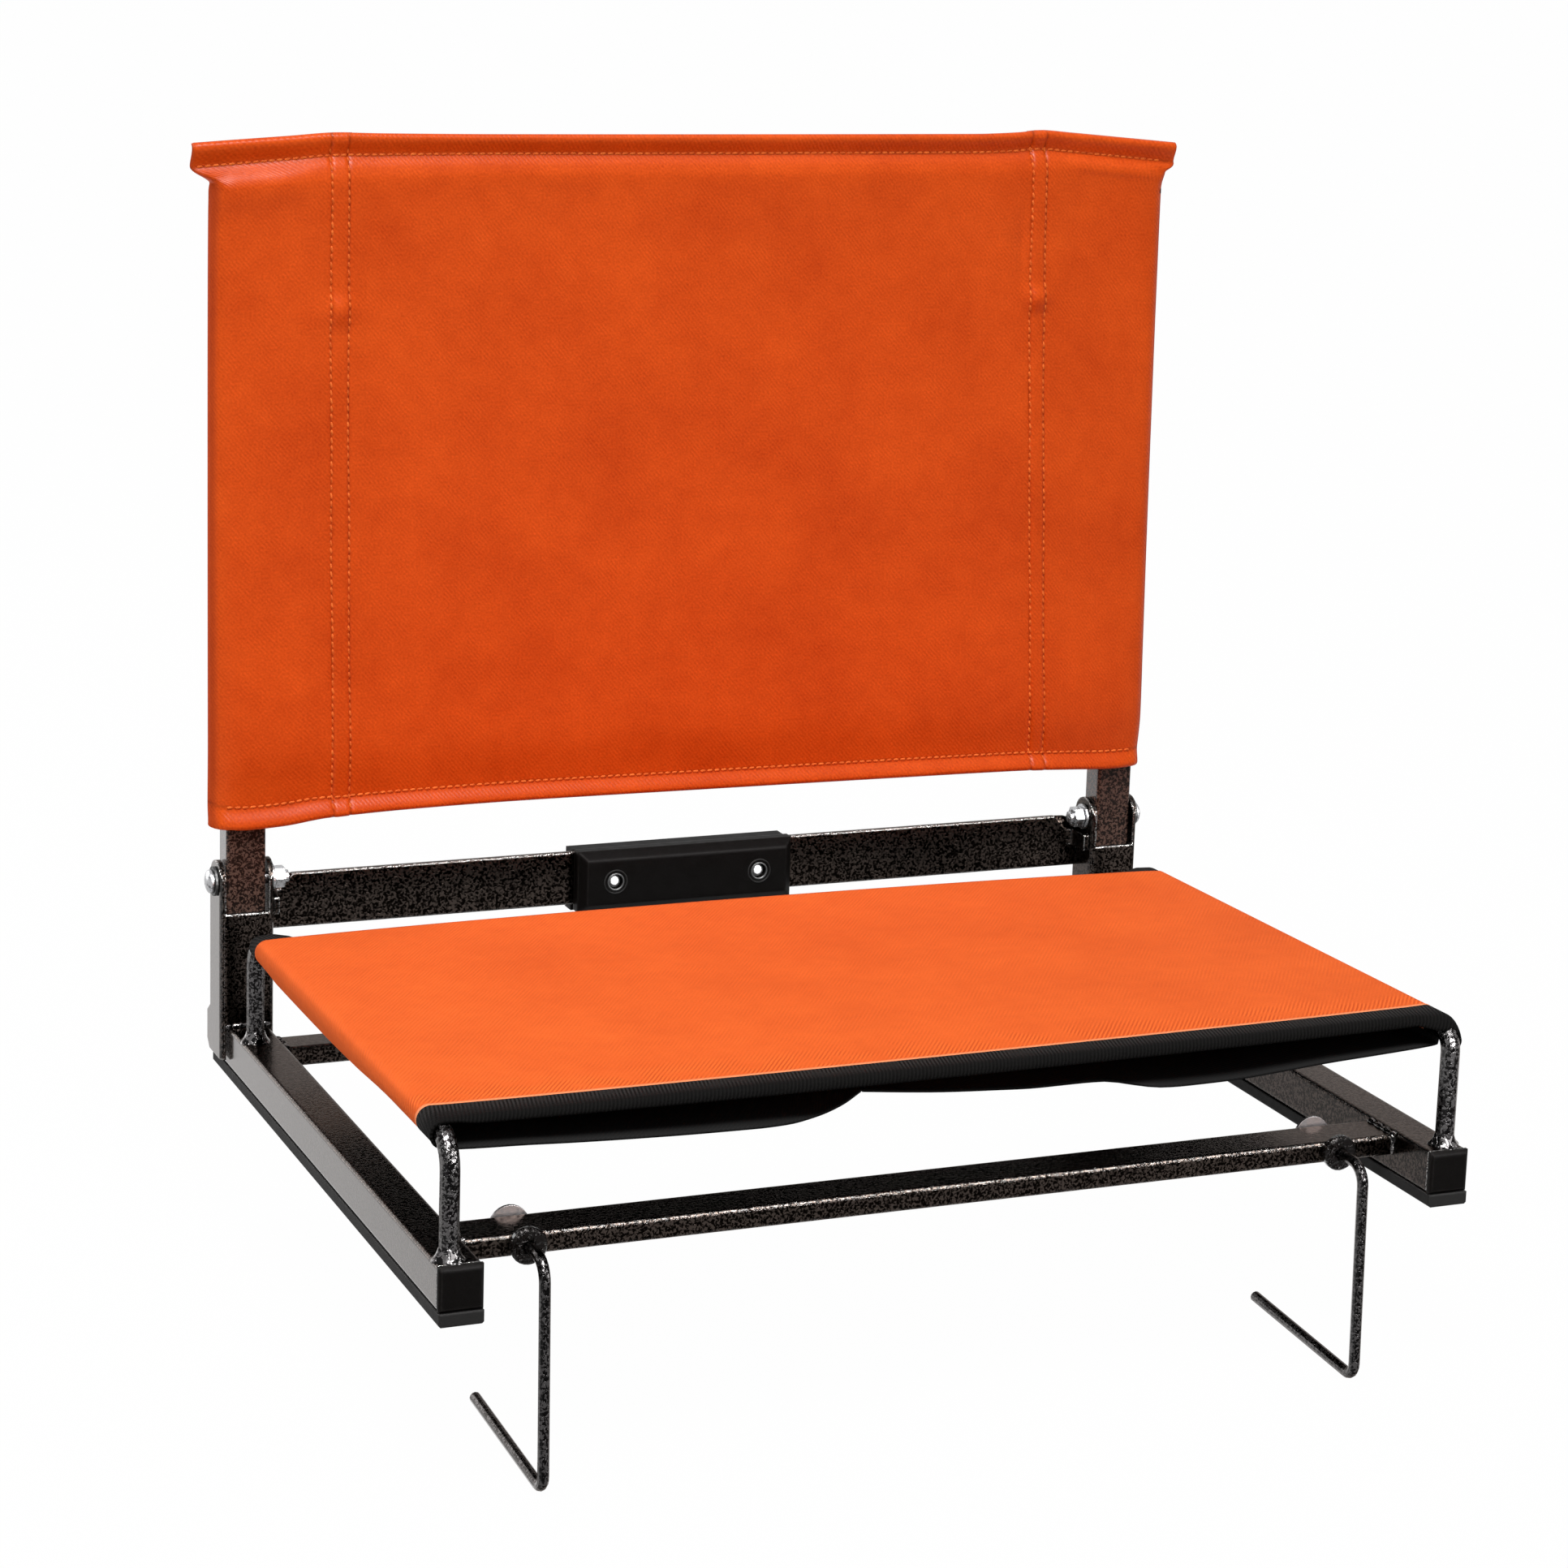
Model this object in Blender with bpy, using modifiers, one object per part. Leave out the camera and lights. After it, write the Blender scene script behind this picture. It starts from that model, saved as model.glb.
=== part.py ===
"""Folding bleacher seat: a welded tube base, fabric seat and back, and two swinging bench hooks.

Metres, +Z up, front towards -Y. The origin lies on the bench top, midway between the two
runners and halfway along them. The back stands open, and the hooks hang below the bench top.
"""
import math

import bmesh
import bpy
from mathutils import Matrix, Vector

OBJECT_NAME = "bleacher_seat"
SIDES = (("left", -1), ("right", 1))

# Clearances
FIT = 0.0003
HOLE_CLEARANCE = 0.0003

# Side rails, end caps and runners
FRAME_WIDTH = 0.4755
RAIL_SIDE = 0.019
RAIL_WALL = 0.0015
RAIL_CORNER = 0.0016
RAIL_LENGTH = 0.352
CAP_FLANGE = 0.003
CAP_CHAMFER = 0.0012
CAP_PLUG_LENGTH = 0.012
RUNNER_HEIGHT = 0.0057
RUNNER_CHAMFER = 0.0008

# Cross tubes between the rails
CROSS_HEIGHT = 0.0095
CROSS_WALL = 0.0012
CROSS_CORNER = 0.0014
CROSS_DROP = 0.0018
FRONT_CROSS_DEPTH = 0.0225
FRONT_CROSS_Y = -0.13575
REAR_CROSS_DEPTH = 0.018
REAR_CROSS_Y = 0.127

# Folded hinge brackets
SHEET = 0.0026
SHEET_BEND = 0.003
BRACKET_CLEARANCE = 0.0009
BRACKET_FRONT_Y = 0.151
BRACKET_DEPTH = 0.020
PIVOT_Z = 0.0942
WEB_TOP_BELOW_PIVOT = 0.0142
FLARE_DEPTH = 0.0055
FLARE_TOP = 0.031
FLARE_SLOPE = 0.004
FLANGE_FOOT = 0.003

# Back uprights and their plugs
UPRIGHT_WIDTH = 0.019
UPRIGHT_WALL = 0.0012
UPRIGHT_CORNER = 0.0015
UPRIGHT_TAIL = 0.024
UPRIGHT_RISE = 0.320
PLUG_HEAD = 0.003
PLUG_LENGTH = 0.010

# Pivot hardware
BOLT_RADIUS = 0.003
BOLT_HEAD_RADIUS = 0.0056
BOLT_HEAD_HEIGHT = 0.0032
BOLT_END = 0.002
OUTER_WASHER_RADIUS = 0.0070
INNER_WASHER_RADIUS = 0.0066
WASHER_THICKNESS = 0.0012
NUT_FLATS = 0.0095
NUT_HEIGHT = 0.005

# Bent seat rods
ROD_RADIUS = 0.00425
ROD_OUTSET = 0.0025
ROD_FRONT_Y = -0.1695
ROD_REAR_Y = 0.1275
ROD_Z = 0.0747
ROD_REAR_BEND = 0.0125
LEFT_FRONT_BEND = 0.0125
LEFT_FRONT_LIFT = 0.0
LEFT_REAR_LIFT = -0.0010
RIGHT_FRONT_BEND = 0.0090
RIGHT_FRONT_LIFT = 0.0026
RIGHT_REAR_LIFT = -0.0028

# Carry bar and moulded grip
BAR_THICKNESS = 0.003
BAR_TOP_BELOW_PIVOT = 0.0010
BAR_HEIGHT = 0.0263
BAR_CHAMFER_X = 0.013
BAR_CHAMFER_Z = 0.016
TAB_THICKNESS = 0.0028
TAB_HEIGHT = 0.008
TAB_BELOW_PIVOT = 0.0082
TAB_BEND = 0.005
TAB_OVERLAP = 0.012
TAB_SETBACK = 0.0025
GRIP_LENGTH = 0.1125
GRIP_SHIFT = -0.004
GRIP_HEIGHT = 0.0305
GRIP_TOP_ABOVE_BAR = 0.0016
GRIP_REAR_DROP = 0.0014
GRIP_FRONT_DEPTH = 0.010
GRIP_REAR_DEPTH = 0.011
GRIP_CHAMFER = 0.0040
GRIP_REAR_CHAMFER = 0.0025
SCREW_SPACING = 0.0757
SCREW_RADIUS = 0.002
SCREW_HEAD_RADIUS = 0.0034
SCREW_HEAD_HEIGHT = 0.0022
COUNTERBORE_CLEARANCE = 0.0006
COUNTERBORE_DEPTH = 0.004
GRIP_NUT_FLATS = 0.0065
GRIP_NUT_HEIGHT = 0.0026

# Bench hooks
HOOK_FROM_RAIL = 0.02865
HOOK_RADIUS = 0.0025
HOOK_LEG_Y = -0.1695
HOOK_LEG_LEAN = 0.003
HOOK_DROP = 0.0972
HOOK_REACH = 0.0895
HOOK_LIFT = 0.005
HOOK_TOP_BEND = 0.009
HOOK_FOOT_BEND = 0.006
COLLAR_RADIUS = 0.0080
COLLAR_THICKNESS = 0.0032
COLLAR_ROUND = 0.0008
RETAINER_RADIUS = 0.0088
RETAINER_RIM = 0.0012
RETAINER_DOME = 0.0034
RETAINER_BORE_DEPTH = 0.0028

# Seat cloth, the tape along its edges and the under-cloth
CLOTH = 0.0012
SEAT_FRONT_Y = -0.1445
SEAT_REAR_Y = 0.1075
SEAT_CROWN = 0.0014
SEAT_REAR_BOW = 0.0035
TAPE_EASE = 0.0006
TAPE_TURN = 0.0025
TAPE_RODWARD = 0.010
TAPE_SPREAD = 0.016
FRONT_TAPE_DEPTH = 0.0168
FRONT_TAPE_FLAT = 0.0143
FRONT_TAPE_LIP = 0.0040
REAR_TAPE_DEPTH = 0.0115
REAR_TAPE_FLAT = 0.0015
REAR_TAPE_LIP = 0.0060
UNDERSIDE_FRONT_Y = -0.161
UNDERSIDE_REAR_SETBACK = 0.0039
UNDERSIDE_FLOOR = 0.0613
UNDERSIDE_STEEP_SHARE = 0.2
UNDERSIDE_STEEP_RUN = 0.003
LEFT_SLACK_RUN = 0.088
RIGHT_SLACK_RUN = 0.062
UNDERSIDE_INSET = 0.0009
UNDERSIDE_JOIN_X = -0.0337
UNDERSIDE_JOIN_GAP = 0.0006
UNDERSIDE_SETBACK = 0.0345
LEFT_CORNER_X = -0.092
RIGHT_CORNER_X = 0.091
RIGHT_CORNER_WIDTH = 0.019
RIGHT_CORNER_SETBACK = 0.0165

# Back cloth
BACK_BOTTOM_ABOVE_PIVOT = 0.0307
BACK_HEIGHT = 0.3197
SLEEVE_SLACK = 0.00455
SLEEVE_DIP = 0.0035
SEAM_FROM_SLEEVE = 0.03625
SEAM_ROWS = 0.008
SEAM_PEAK = 0.0012
CORNER_DIP = 0.0050
CORNER_FLARE = 0.0072
HEM_HEIGHT = 0.011
FLARE_HEIGHT = 0.0075
PANEL_CLOTH = 0.0016
EDGE_CLOTH = 0.0024
HEM_CLOTH = 0.0028

# Places worked out from the sizes above
RAIL_X = (FRAME_WIDTH - RAIL_SIDE) / 2
RAIL_BOTTOM = RUNNER_HEIGHT + FIT
RAIL_TOP = RAIL_BOTTOM + RAIL_SIDE
RAIL_MID_Z = RAIL_BOTTOM + RAIL_SIDE / 2
RAIL_INNER_X = RAIL_X - RAIL_SIDE / 2
CROSS_Z = RAIL_TOP - CROSS_DROP - CROSS_HEIGHT / 2
CROSS_LENGTH = 2 * (RAIL_INNER_X - FIT)
BRACKET_INNER = max(RAIL_SIDE, UPRIGHT_WIDTH) + 2 * BRACKET_CLEARANCE
BRACKET_OUTER = BRACKET_INNER + 2 * SHEET
PIVOT_Y = BRACKET_FRONT_Y + BRACKET_DEPTH / 2
EAR_RADIUS = BRACKET_DEPTH / 2
WEB_TOP = PIVOT_Z - WEB_TOP_BELOW_PIVOT
UPRIGHT_DEPTH = 2 * (PIVOT_Y - BRACKET_FRONT_Y - SHEET - FIT)
UPRIGHT_TOP = PIVOT_Z + UPRIGHT_RISE
ROD_X = RAIL_X + ROD_OUTSET
BAR_Y = BRACKET_FRONT_Y + BRACKET_DEPTH - BAR_THICKNESS / 2
BAR_TOP = PIVOT_Z - BAR_TOP_BELOW_PIVOT
BAR_END_X = RAIL_X - BRACKET_OUTER / 2 - FIT
GRIP_TOP = BAR_TOP + GRIP_TOP_ABOVE_BAR
GRIP_Z = GRIP_TOP - GRIP_HEIGHT / 2
HOOK_X = RAIL_INNER_X - HOOK_FROM_RAIL
HOOK_Z = CROSS_Z
CROSS_FRONT_FACE = FRONT_CROSS_Y - FRONT_CROSS_DEPTH / 2
CROSS_REAR_FACE = FRONT_CROSS_Y + FRONT_CROSS_DEPTH / 2
WRAP_RADIUS = ROD_RADIUS + FIT + CLOTH / 2
TAPE_RADIUS = ROD_RADIUS + TAPE_EASE + CLOTH / 2
BACK_BOTTOM = PIVOT_Z + BACK_BOTTOM_ABOVE_PIVOT
BACK_TOP = BACK_BOTTOM + BACK_HEIGHT
SLEEVE_FRONT_Y = PIVOT_Y - UPRIGHT_DEPTH / 2 - FIT - CLOTH
SLEEVE_REAR_Y = PIVOT_Y + UPRIGHT_DEPTH / 2 + FIT + CLOTH
SLEEVE_HALF = UPRIGHT_WIDTH / 2 + FIT + CLOTH
BACK_HALF_WIDTH = RAIL_X + SLEEVE_HALF + SLEEVE_SLACK
SEAM_X = RAIL_X - SLEEVE_HALF - SEAM_FROM_SLEEVE

# Front bend, front lift and rear lift of the left and the right rod
ROD_SHAPES = {
    -1: (LEFT_FRONT_BEND, LEFT_FRONT_LIFT, LEFT_REAR_LIFT),
    1: (RIGHT_FRONT_BEND, RIGHT_FRONT_LIFT, RIGHT_REAR_LIFT),
}

# Directions that a section can be extruded along, as Euler angles
ALONG_X = (math.pi / 2, 0.0, math.pi / 2)
ALONG_Y = (math.pi / 2, 0.0, 0.0)
ALONG_Z = (0.0, 0.0, 0.0)


def clear_scene():
    """Removes whatever the opened file holds."""
    for old in list(bpy.data.objects):
        bpy.data.objects.remove(old, do_unlink=True)


def new_collection(name):
    """Makes a collection under the scene's own."""
    made = bpy.data.collections.new(name)
    bpy.context.scene.collection.children.link(made)
    return made


clear_scene()
PARTS = new_collection(OBJECT_NAME)
CUTTERS = new_collection("cutters")


def make_material(name, colour, roughness, metallic=0.0):
    """Makes a plain Principled material."""
    made = bpy.data.materials.new(name)
    made.use_nodes = True
    shader = made.node_tree.nodes["Principled BSDF"]
    shader.inputs["Base Color"].default_value = (*colour, 1.0)
    shader.inputs["Roughness"].default_value = roughness
    shader.inputs["Metallic"].default_value = metallic
    return made


VEIN_COAT = make_material("vein_powder_coat", (0.022, 0.018, 0.016), 0.45, 0.3)
BLACK_PLASTIC = make_material("black_plastic", (0.012, 0.011, 0.011), 0.4)
RUBBER = make_material("runner_rubber", (0.02, 0.02, 0.02), 0.75)
ZINC = make_material("bright_zinc", (0.75, 0.75, 0.74), 0.25, 1.0)
DARK_STEEL = make_material("blackened_steel", (0.05, 0.05, 0.05), 0.4, 0.8)
ORANGE_CANVAS = make_material("orange_canvas", (0.80, 0.14, 0.03), 0.8)
BLACK_TWILL = make_material("black_twill", (0.015, 0.014, 0.014), 0.85)


def arc(centre, radius, start, end, steps):
    """Gives the points of a circular arc, with angles in degrees."""
    points = []
    for index in range(steps + 1):
        angle = math.radians(start + (end - start) * index / steps)
        points.append((centre[0] + radius * math.cos(angle), centre[1] + radius * math.sin(angle)))
    return points


def rounded_rectangle(width, height, radius, steps=3):
    """Gives a closed outline about the origin with round corners."""
    half_w = width / 2 - radius
    half_h = height / 2 - radius
    points = []
    for quarter, (sx, sy) in enumerate(((1, 1), (-1, 1), (-1, -1), (1, -1))):
        points += arc((sx * half_w, sy * half_h), radius, 90 * quarter, 90 * quarter + 90, steps)
    return points


def circle(centre, radius, steps=20):
    """Gives a closed circle."""
    return arc(centre, radius, 0, 360, steps)[:-1]


def bent_path(corners, radii, steps=6):
    """Rounds the inner corners of a path of 2D points, each with its own bend radius."""
    points = [corners[0]]
    for before, corner, after, radius in zip(corners, corners[1:], corners[2:], radii):
        here = Vector(corner)
        back = (Vector(before) - here).normalized()
        ahead = (Vector(after) - here).normalized()
        half_angle = back.angle(ahead) / 2
        centre = here + (back + ahead).normalized() * (radius / math.sin(half_angle))
        start = here + back * (radius / math.tan(half_angle)) - centre
        sweep = (here + ahead * (radius / math.tan(half_angle)) - centre).angle_signed(start)
        for index in range(steps + 1):
            turned_to = start.copy()
            turned_to.rotate(Matrix.Rotation(sweep * index / steps, 2))
            points.append(tuple(centre + turned_to))
    points.append(corners[-1])
    return points


def add_object(name, data, material=None, collection=PARTS):
    """Links an object to its collection and gives it its material."""
    made = bpy.data.objects.new(name, data)
    collection.objects.link(made)
    if material is not None:
        made.data.materials.append(material)
    return made


def as_mesh(source, name, material, collection=PARTS):
    """Swaps a curve object for a welded mesh at the same place."""
    bpy.context.view_layer.update()
    evaluated = source.evaluated_get(bpy.context.evaluated_depsgraph_get())
    mesh = bpy.data.meshes.new_from_object(evaluated)
    body = bmesh.new()
    body.from_mesh(mesh)
    bmesh.ops.remove_doubles(body, verts=body.verts, dist=1e-6)
    body.to_mesh(mesh)
    body.free()
    mesh.materials.clear()
    made = add_object(name, mesh, material, collection)
    made.matrix_world = source.matrix_world.copy()
    bpy.data.objects.remove(source, do_unlink=True)
    return made


def section_solid(name, outlines, length, direction, centre, material, collection=PARTS):
    """Extrudes flat outlines, the first outside and the rest holes, both ways from a centre."""
    flat = bpy.data.curves.new(name + "_section", "CURVE")
    flat.dimensions = "2D"
    flat.fill_mode = "BOTH"
    flat.extrude = length / 2
    for outline in outlines:
        spline = flat.splines.new("POLY")
        spline.points.add(len(outline) - 1)
        for point, (x, y) in zip(spline.points, outline):
            point.co = (x, y, 0.0, 1.0)
        spline.use_cyclic_u = True
    source = add_object(name + "_source", flat, None, collection)
    source.rotation_euler = direction
    source.location = centre
    return as_mesh(source, name, material, collection)


def rod(name, path, radius, x, material):
    """Sweeps a round bar along a path of (y, z) points in the plane of one x."""
    line = bpy.data.curves.new(name, "CURVE")
    line.dimensions = "3D"
    line.bevel_depth = radius
    line.bevel_resolution = 4
    line.use_fill_caps = True
    spline = line.splines.new("POLY")
    spline.points.add(len(path) - 1)
    origin_y, origin_z = path[0]
    for point, (y, z) in zip(spline.points, path):
        point.co = (0.0, y - origin_y, z - origin_z, 1.0)
    made = add_object(name, line, material)
    made.location = (x, origin_y, origin_z)
    return made


def turned(name, profile, closed, direction, centre, material, steps=24):
    """Spins a profile of (radius, height) points about its own axis."""
    mesh = bpy.data.meshes.new(name)
    edges = [(index, index + 1) for index in range(len(profile) - 1)]
    if closed:
        edges.append((len(profile) - 1, 0))
    mesh.from_pydata([(radius, 0.0, height) for radius, height in profile], edges, [])
    made = add_object(name, mesh, material)
    spin = made.modifiers.new("spin", "SCREW")
    spin.steps = steps
    spin.render_steps = steps
    spin.use_merge_vertices = True
    spin.merge_threshold = 0.00001
    made.rotation_euler = direction
    made.location = centre
    return made


def block(name, size, centre, material, collection=PARTS):
    """Makes a box from a cube primitive."""
    body = bmesh.new()
    bmesh.ops.create_cube(body, size=1.0)
    bmesh.ops.scale(body, vec=size, verts=body.verts)
    mesh = bpy.data.meshes.new(name)
    body.to_mesh(mesh)
    body.free()
    made = add_object(name, mesh, material, collection)
    made.location = centre
    return made


def drill(name, radius, length, direction, centre):
    """Makes a hidden round cutter."""
    cutter = section_solid(name, [circle((0, 0), radius)], length, direction, centre, None, CUTTERS)
    return hide(cutter)


def hide(cutter):
    """Keeps a cutter out of the finished object."""
    cutter.hide_render = True
    cutter.display_type = "WIRE"
    return cutter


def combine(target, other, operation):
    """Adds an exact Boolean to an object."""
    step = target.modifiers.new(operation.lower(), "BOOLEAN")
    step.operation = operation
    step.solver = "EXACT"
    step.object = other


def make_axis(name, centre):
    """Makes an empty on a joint's axis."""
    axis = bpy.data.objects.new(name, None)
    PARTS.objects.link(axis)
    axis.location = centre
    return axis


def carry(axis, *pieces):
    """Parents pieces to an axis and leaves them where they are."""
    bpy.context.view_layer.update()
    for piece in pieces:
        world = piece.matrix_world.copy()
        piece.parent = axis
        piece.matrix_parent_inverse = axis.matrix_world.inverted()
        piece.matrix_world = world


def side_rail(side, sign):
    """A square tube that runs the whole depth of the base."""
    outlines = [
        rounded_rectangle(RAIL_SIDE, RAIL_SIDE, RAIL_CORNER),
        rounded_rectangle(RAIL_SIDE - 2 * RAIL_WALL, RAIL_SIDE - 2 * RAIL_WALL, RAIL_CORNER / 2),
    ]
    centre = (sign * RAIL_X, 0.0, RAIL_MID_Z)
    section_solid(f"{side}_side_rail", outlines, RAIL_LENGTH, ALONG_Y, centre, VEIN_COAT)


def end_cap(side, sign, end, facing):
    """A moulded cap with a chamfered face and a plug that enters the rail."""
    body = bmesh.new()
    bmesh.ops.create_cube(body, size=1.0)
    bmesh.ops.scale(body, vec=(RAIL_SIDE, CAP_FLANGE, RAIL_SIDE), verts=body.verts)
    body.faces.ensure_lookup_table()
    face = min(body.faces, key=lambda each: each.calc_center_median().y)
    back = max(body.faces, key=lambda each: each.calc_center_median().y)
    bmesh.ops.bevel(body, geom=list(face.edges), offset=CAP_CHAMFER, segments=1, affect="EDGES")
    bmesh.ops.inset_region(body, faces=[back], thickness=RAIL_WALL + FIT, use_even_offset=True)
    plug = bmesh.ops.extrude_face_region(body, geom=[back])
    moved = [each for each in plug["geom"] if isinstance(each, bmesh.types.BMVert)]
    bmesh.ops.translate(body, vec=(0.0, CAP_PLUG_LENGTH, 0.0), verts=moved)
    bmesh.ops.delete(body, geom=[back], context="FACES_ONLY")
    mesh = bpy.data.meshes.new(f"{side}_{end}_end_cap")
    body.to_mesh(mesh)
    body.free()
    made = add_object(f"{side}_{end}_end_cap", mesh, BLACK_PLASTIC)
    made.location = (sign * RAIL_X, facing * (RAIL_LENGTH / 2 + FIT + CAP_FLANGE / 2), RAIL_MID_Z)
    made.rotation_euler = (0.0, 0.0, 0.0 if facing < 0 else math.pi)


def runner(side, sign):
    """A rubber strip under the whole rail, with its lower edges eased."""
    half = RAIL_SIDE / 2
    outline = [
        (-half, RUNNER_HEIGHT),
        (-half, RUNNER_CHAMFER),
        (-half + RUNNER_CHAMFER, 0.0),
        (half - RUNNER_CHAMFER, 0.0),
        (half, RUNNER_CHAMFER),
        (half, RUNNER_HEIGHT),
    ]
    length = RAIL_LENGTH + 2 * (CAP_FLANGE + FIT)
    section_solid(f"{side}_runner", [outline], length, ALONG_Y, (sign * RAIL_X, 0.0, 0.0), RUBBER)


def cross_tube(name, depth, centre_y):
    """A flat tube welded between the inner faces of the rails."""
    outlines = [
        rounded_rectangle(depth, CROSS_HEIGHT, CROSS_CORNER),
        rounded_rectangle(depth - 2 * CROSS_WALL, CROSS_HEIGHT - 2 * CROSS_WALL, CROSS_CORNER / 2),
    ]
    return section_solid(name, outlines, CROSS_LENGTH, ALONG_X, (0.0, centre_y, CROSS_Z), VEIN_COAT)


def front_cross_tube():
    """The front tube has a cross hole near each end for a hook."""
    tube = cross_tube("front_cross_tube", FRONT_CROSS_DEPTH, FRONT_CROSS_Y)
    for side, sign in SIDES:
        centre = (sign * HOOK_X, FRONT_CROSS_Y, HOOK_Z)
        reach = 2 * FRONT_CROSS_DEPTH
        combine(tube, drill(f"{side}_hook_hole", HOOK_RADIUS + HOLE_CLEARANCE, reach, ALONG_Y, centre),
                "DIFFERENCE")


def bracket_plan():
    """The folded sheet seen from above: a web in front and two flanges that run back."""
    half = BRACKET_OUTER / 2
    inner = BRACKET_INNER / 2
    front = BRACKET_FRONT_Y
    rear = BRACKET_FRONT_Y + BRACKET_DEPTH + FLARE_DEPTH
    outline = [(-half, rear)]
    outline += arc((-half + SHEET_BEND, front + SHEET_BEND), SHEET_BEND, 180, 270, 4)
    outline += arc((half - SHEET_BEND, front + SHEET_BEND), SHEET_BEND, 270, 360, 4)
    outline += [(half, rear), (inner, rear), (inner, front + SHEET)]
    outline += [(-inner, front + SHEET), (-inner, rear)]
    return outline


def bracket_side():
    """The flange seen from the side: round ear, straight post and a foot that flares to the rear."""
    front = BRACKET_FRONT_Y
    rear = BRACKET_FRONT_Y + BRACKET_DEPTH
    foot = RAIL_BOTTOM + FLANGE_FOOT
    flared = rear + FLARE_DEPTH
    outline = [(front, foot), (flared - FLARE_SLOPE, foot), (flared, foot + FLARE_SLOPE)]
    outline += [(flared, FLARE_TOP - FLARE_SLOPE), (rear, FLARE_TOP)]
    outline += arc((PIVOT_Y, PIVOT_Z), EAR_RADIUS, 0, 180, 12)
    return outline


def hinge_bracket(side, sign):
    """A folded channel that straddles the rail and ends in two ears for the pivot."""
    x = sign * RAIL_X
    height = PIVOT_Z + 2 * EAR_RADIUS
    bracket = section_solid(f"{side}_hinge_bracket", [bracket_plan()], height, ALONG_Z,
                            (x, 0.0, height / 2), VEIN_COAT)
    outline = section_solid(f"{side}_bracket_side", [bracket_side()], 2 * BRACKET_OUTER, ALONG_X,
                            (x, 0.0, 0.0), None, CUTTERS)
    combine(bracket, hide(outline), "INTERSECT")
    mouth_height = 4 * EAR_RADIUS
    mouth = block(f"{side}_bracket_mouth", (BRACKET_INNER, 2 * BRACKET_DEPTH, mouth_height),
                  (x, BRACKET_FRONT_Y, WEB_TOP + mouth_height / 2), None, CUTTERS)
    combine(bracket, hide(mouth), "DIFFERENCE")
    passage_top = RAIL_TOP + FIT
    passage = block(f"{side}_rail_passage", (BRACKET_INNER, 2 * BRACKET_DEPTH, 2 * passage_top),
                    (x, BRACKET_FRONT_Y, 0.0), None, CUTTERS)
    combine(bracket, hide(passage), "DIFFERENCE")
    hole = drill(f"{side}_ear_holes", BOLT_RADIUS + HOLE_CLEARANCE, 2 * BRACKET_OUTER, ALONG_X,
                 (x, PIVOT_Y, PIVOT_Z))
    combine(bracket, hole, "DIFFERENCE")


def seat_rod(side, sign):
    """A round bar bent into a flat arch, with both feet on the rail."""
    foot = RAIL_TOP + FIT
    bend, front_lift, rear_lift = ROD_SHAPES[sign]
    corners = [(ROD_FRONT_Y, foot), (ROD_FRONT_Y, ROD_Z + front_lift)]
    corners += [(ROD_REAR_Y, ROD_Z + rear_lift), (ROD_REAR_Y, foot)]
    path = bent_path(corners, (bend, ROD_REAR_BEND))
    rod(f"{side}_seat_rod", path, ROD_RADIUS, sign * ROD_X, VEIN_COAT)


def rod_height(sign, y):
    """Height of a rod's centre line: its sloping run, and where it turns down into an end bend."""
    bend, front_lift, rear_lift = ROD_SHAPES[sign]
    along = (y - ROD_FRONT_Y) / (ROD_REAR_Y - ROD_FRONT_Y)
    height = ROD_Z + front_lift + (rear_lift - front_lift) * along
    turns = ((bend, ROD_FRONT_Y + bend - y), (ROD_REAR_BEND, y - ROD_REAR_Y + ROD_REAR_BEND))
    for radius, past in turns:
        if past > 0:
            height -= radius - math.sqrt(radius ** 2 - past ** 2)
    return height


def seat_height(x, y):
    """Height of the line drawn across between the two rods."""
    share = min(1.0, max(0.0, (x / ROD_X + 1) / 2))
    return rod_height(-1, y) * (1 - share) + rod_height(1, y) * share


def carry_bar_face():
    """The bar seen from the front, with its upper corners cut away beside the pivot nuts."""
    bottom = BAR_TOP - BAR_HEIGHT
    return [
        (-BAR_END_X, bottom),
        (BAR_END_X, bottom),
        (BAR_END_X, BAR_TOP - BAR_CHAMFER_Z),
        (BAR_END_X - BAR_CHAMFER_X, BAR_TOP),
        (-BAR_END_X + BAR_CHAMFER_X, BAR_TOP),
        (-BAR_END_X, BAR_TOP - BAR_CHAMFER_Z),
    ]


def tab_plan(sign):
    """A bent tab seen from above: it leaves the bar and runs forward along the bracket."""
    across = BAR_END_X - TAB_THICKNESS / 2
    start = (across - TAB_BEND - TAB_OVERLAP, BAR_Y)
    corners = [start, (across, BAR_Y), (across, BRACKET_FRONT_Y + TAB_SETBACK)]
    middle = bent_path(corners, (TAB_BEND,))
    half = TAB_THICKNESS / 2
    inner = []
    outer = []
    for index, here in enumerate(middle):
        before = Vector(middle[max(index - 1, 0)])
        after = Vector(middle[min(index + 1, len(middle) - 1)])
        along = (after - before).normalized()
        normal = Vector((-along.y, along.x))
        outer.append(tuple(Vector(here) + normal * half))
        inner.append(tuple(Vector(here) - normal * half))
    outline = outer + inner[::-1]
    return [(sign * x, y) for x, y in outline]


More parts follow.
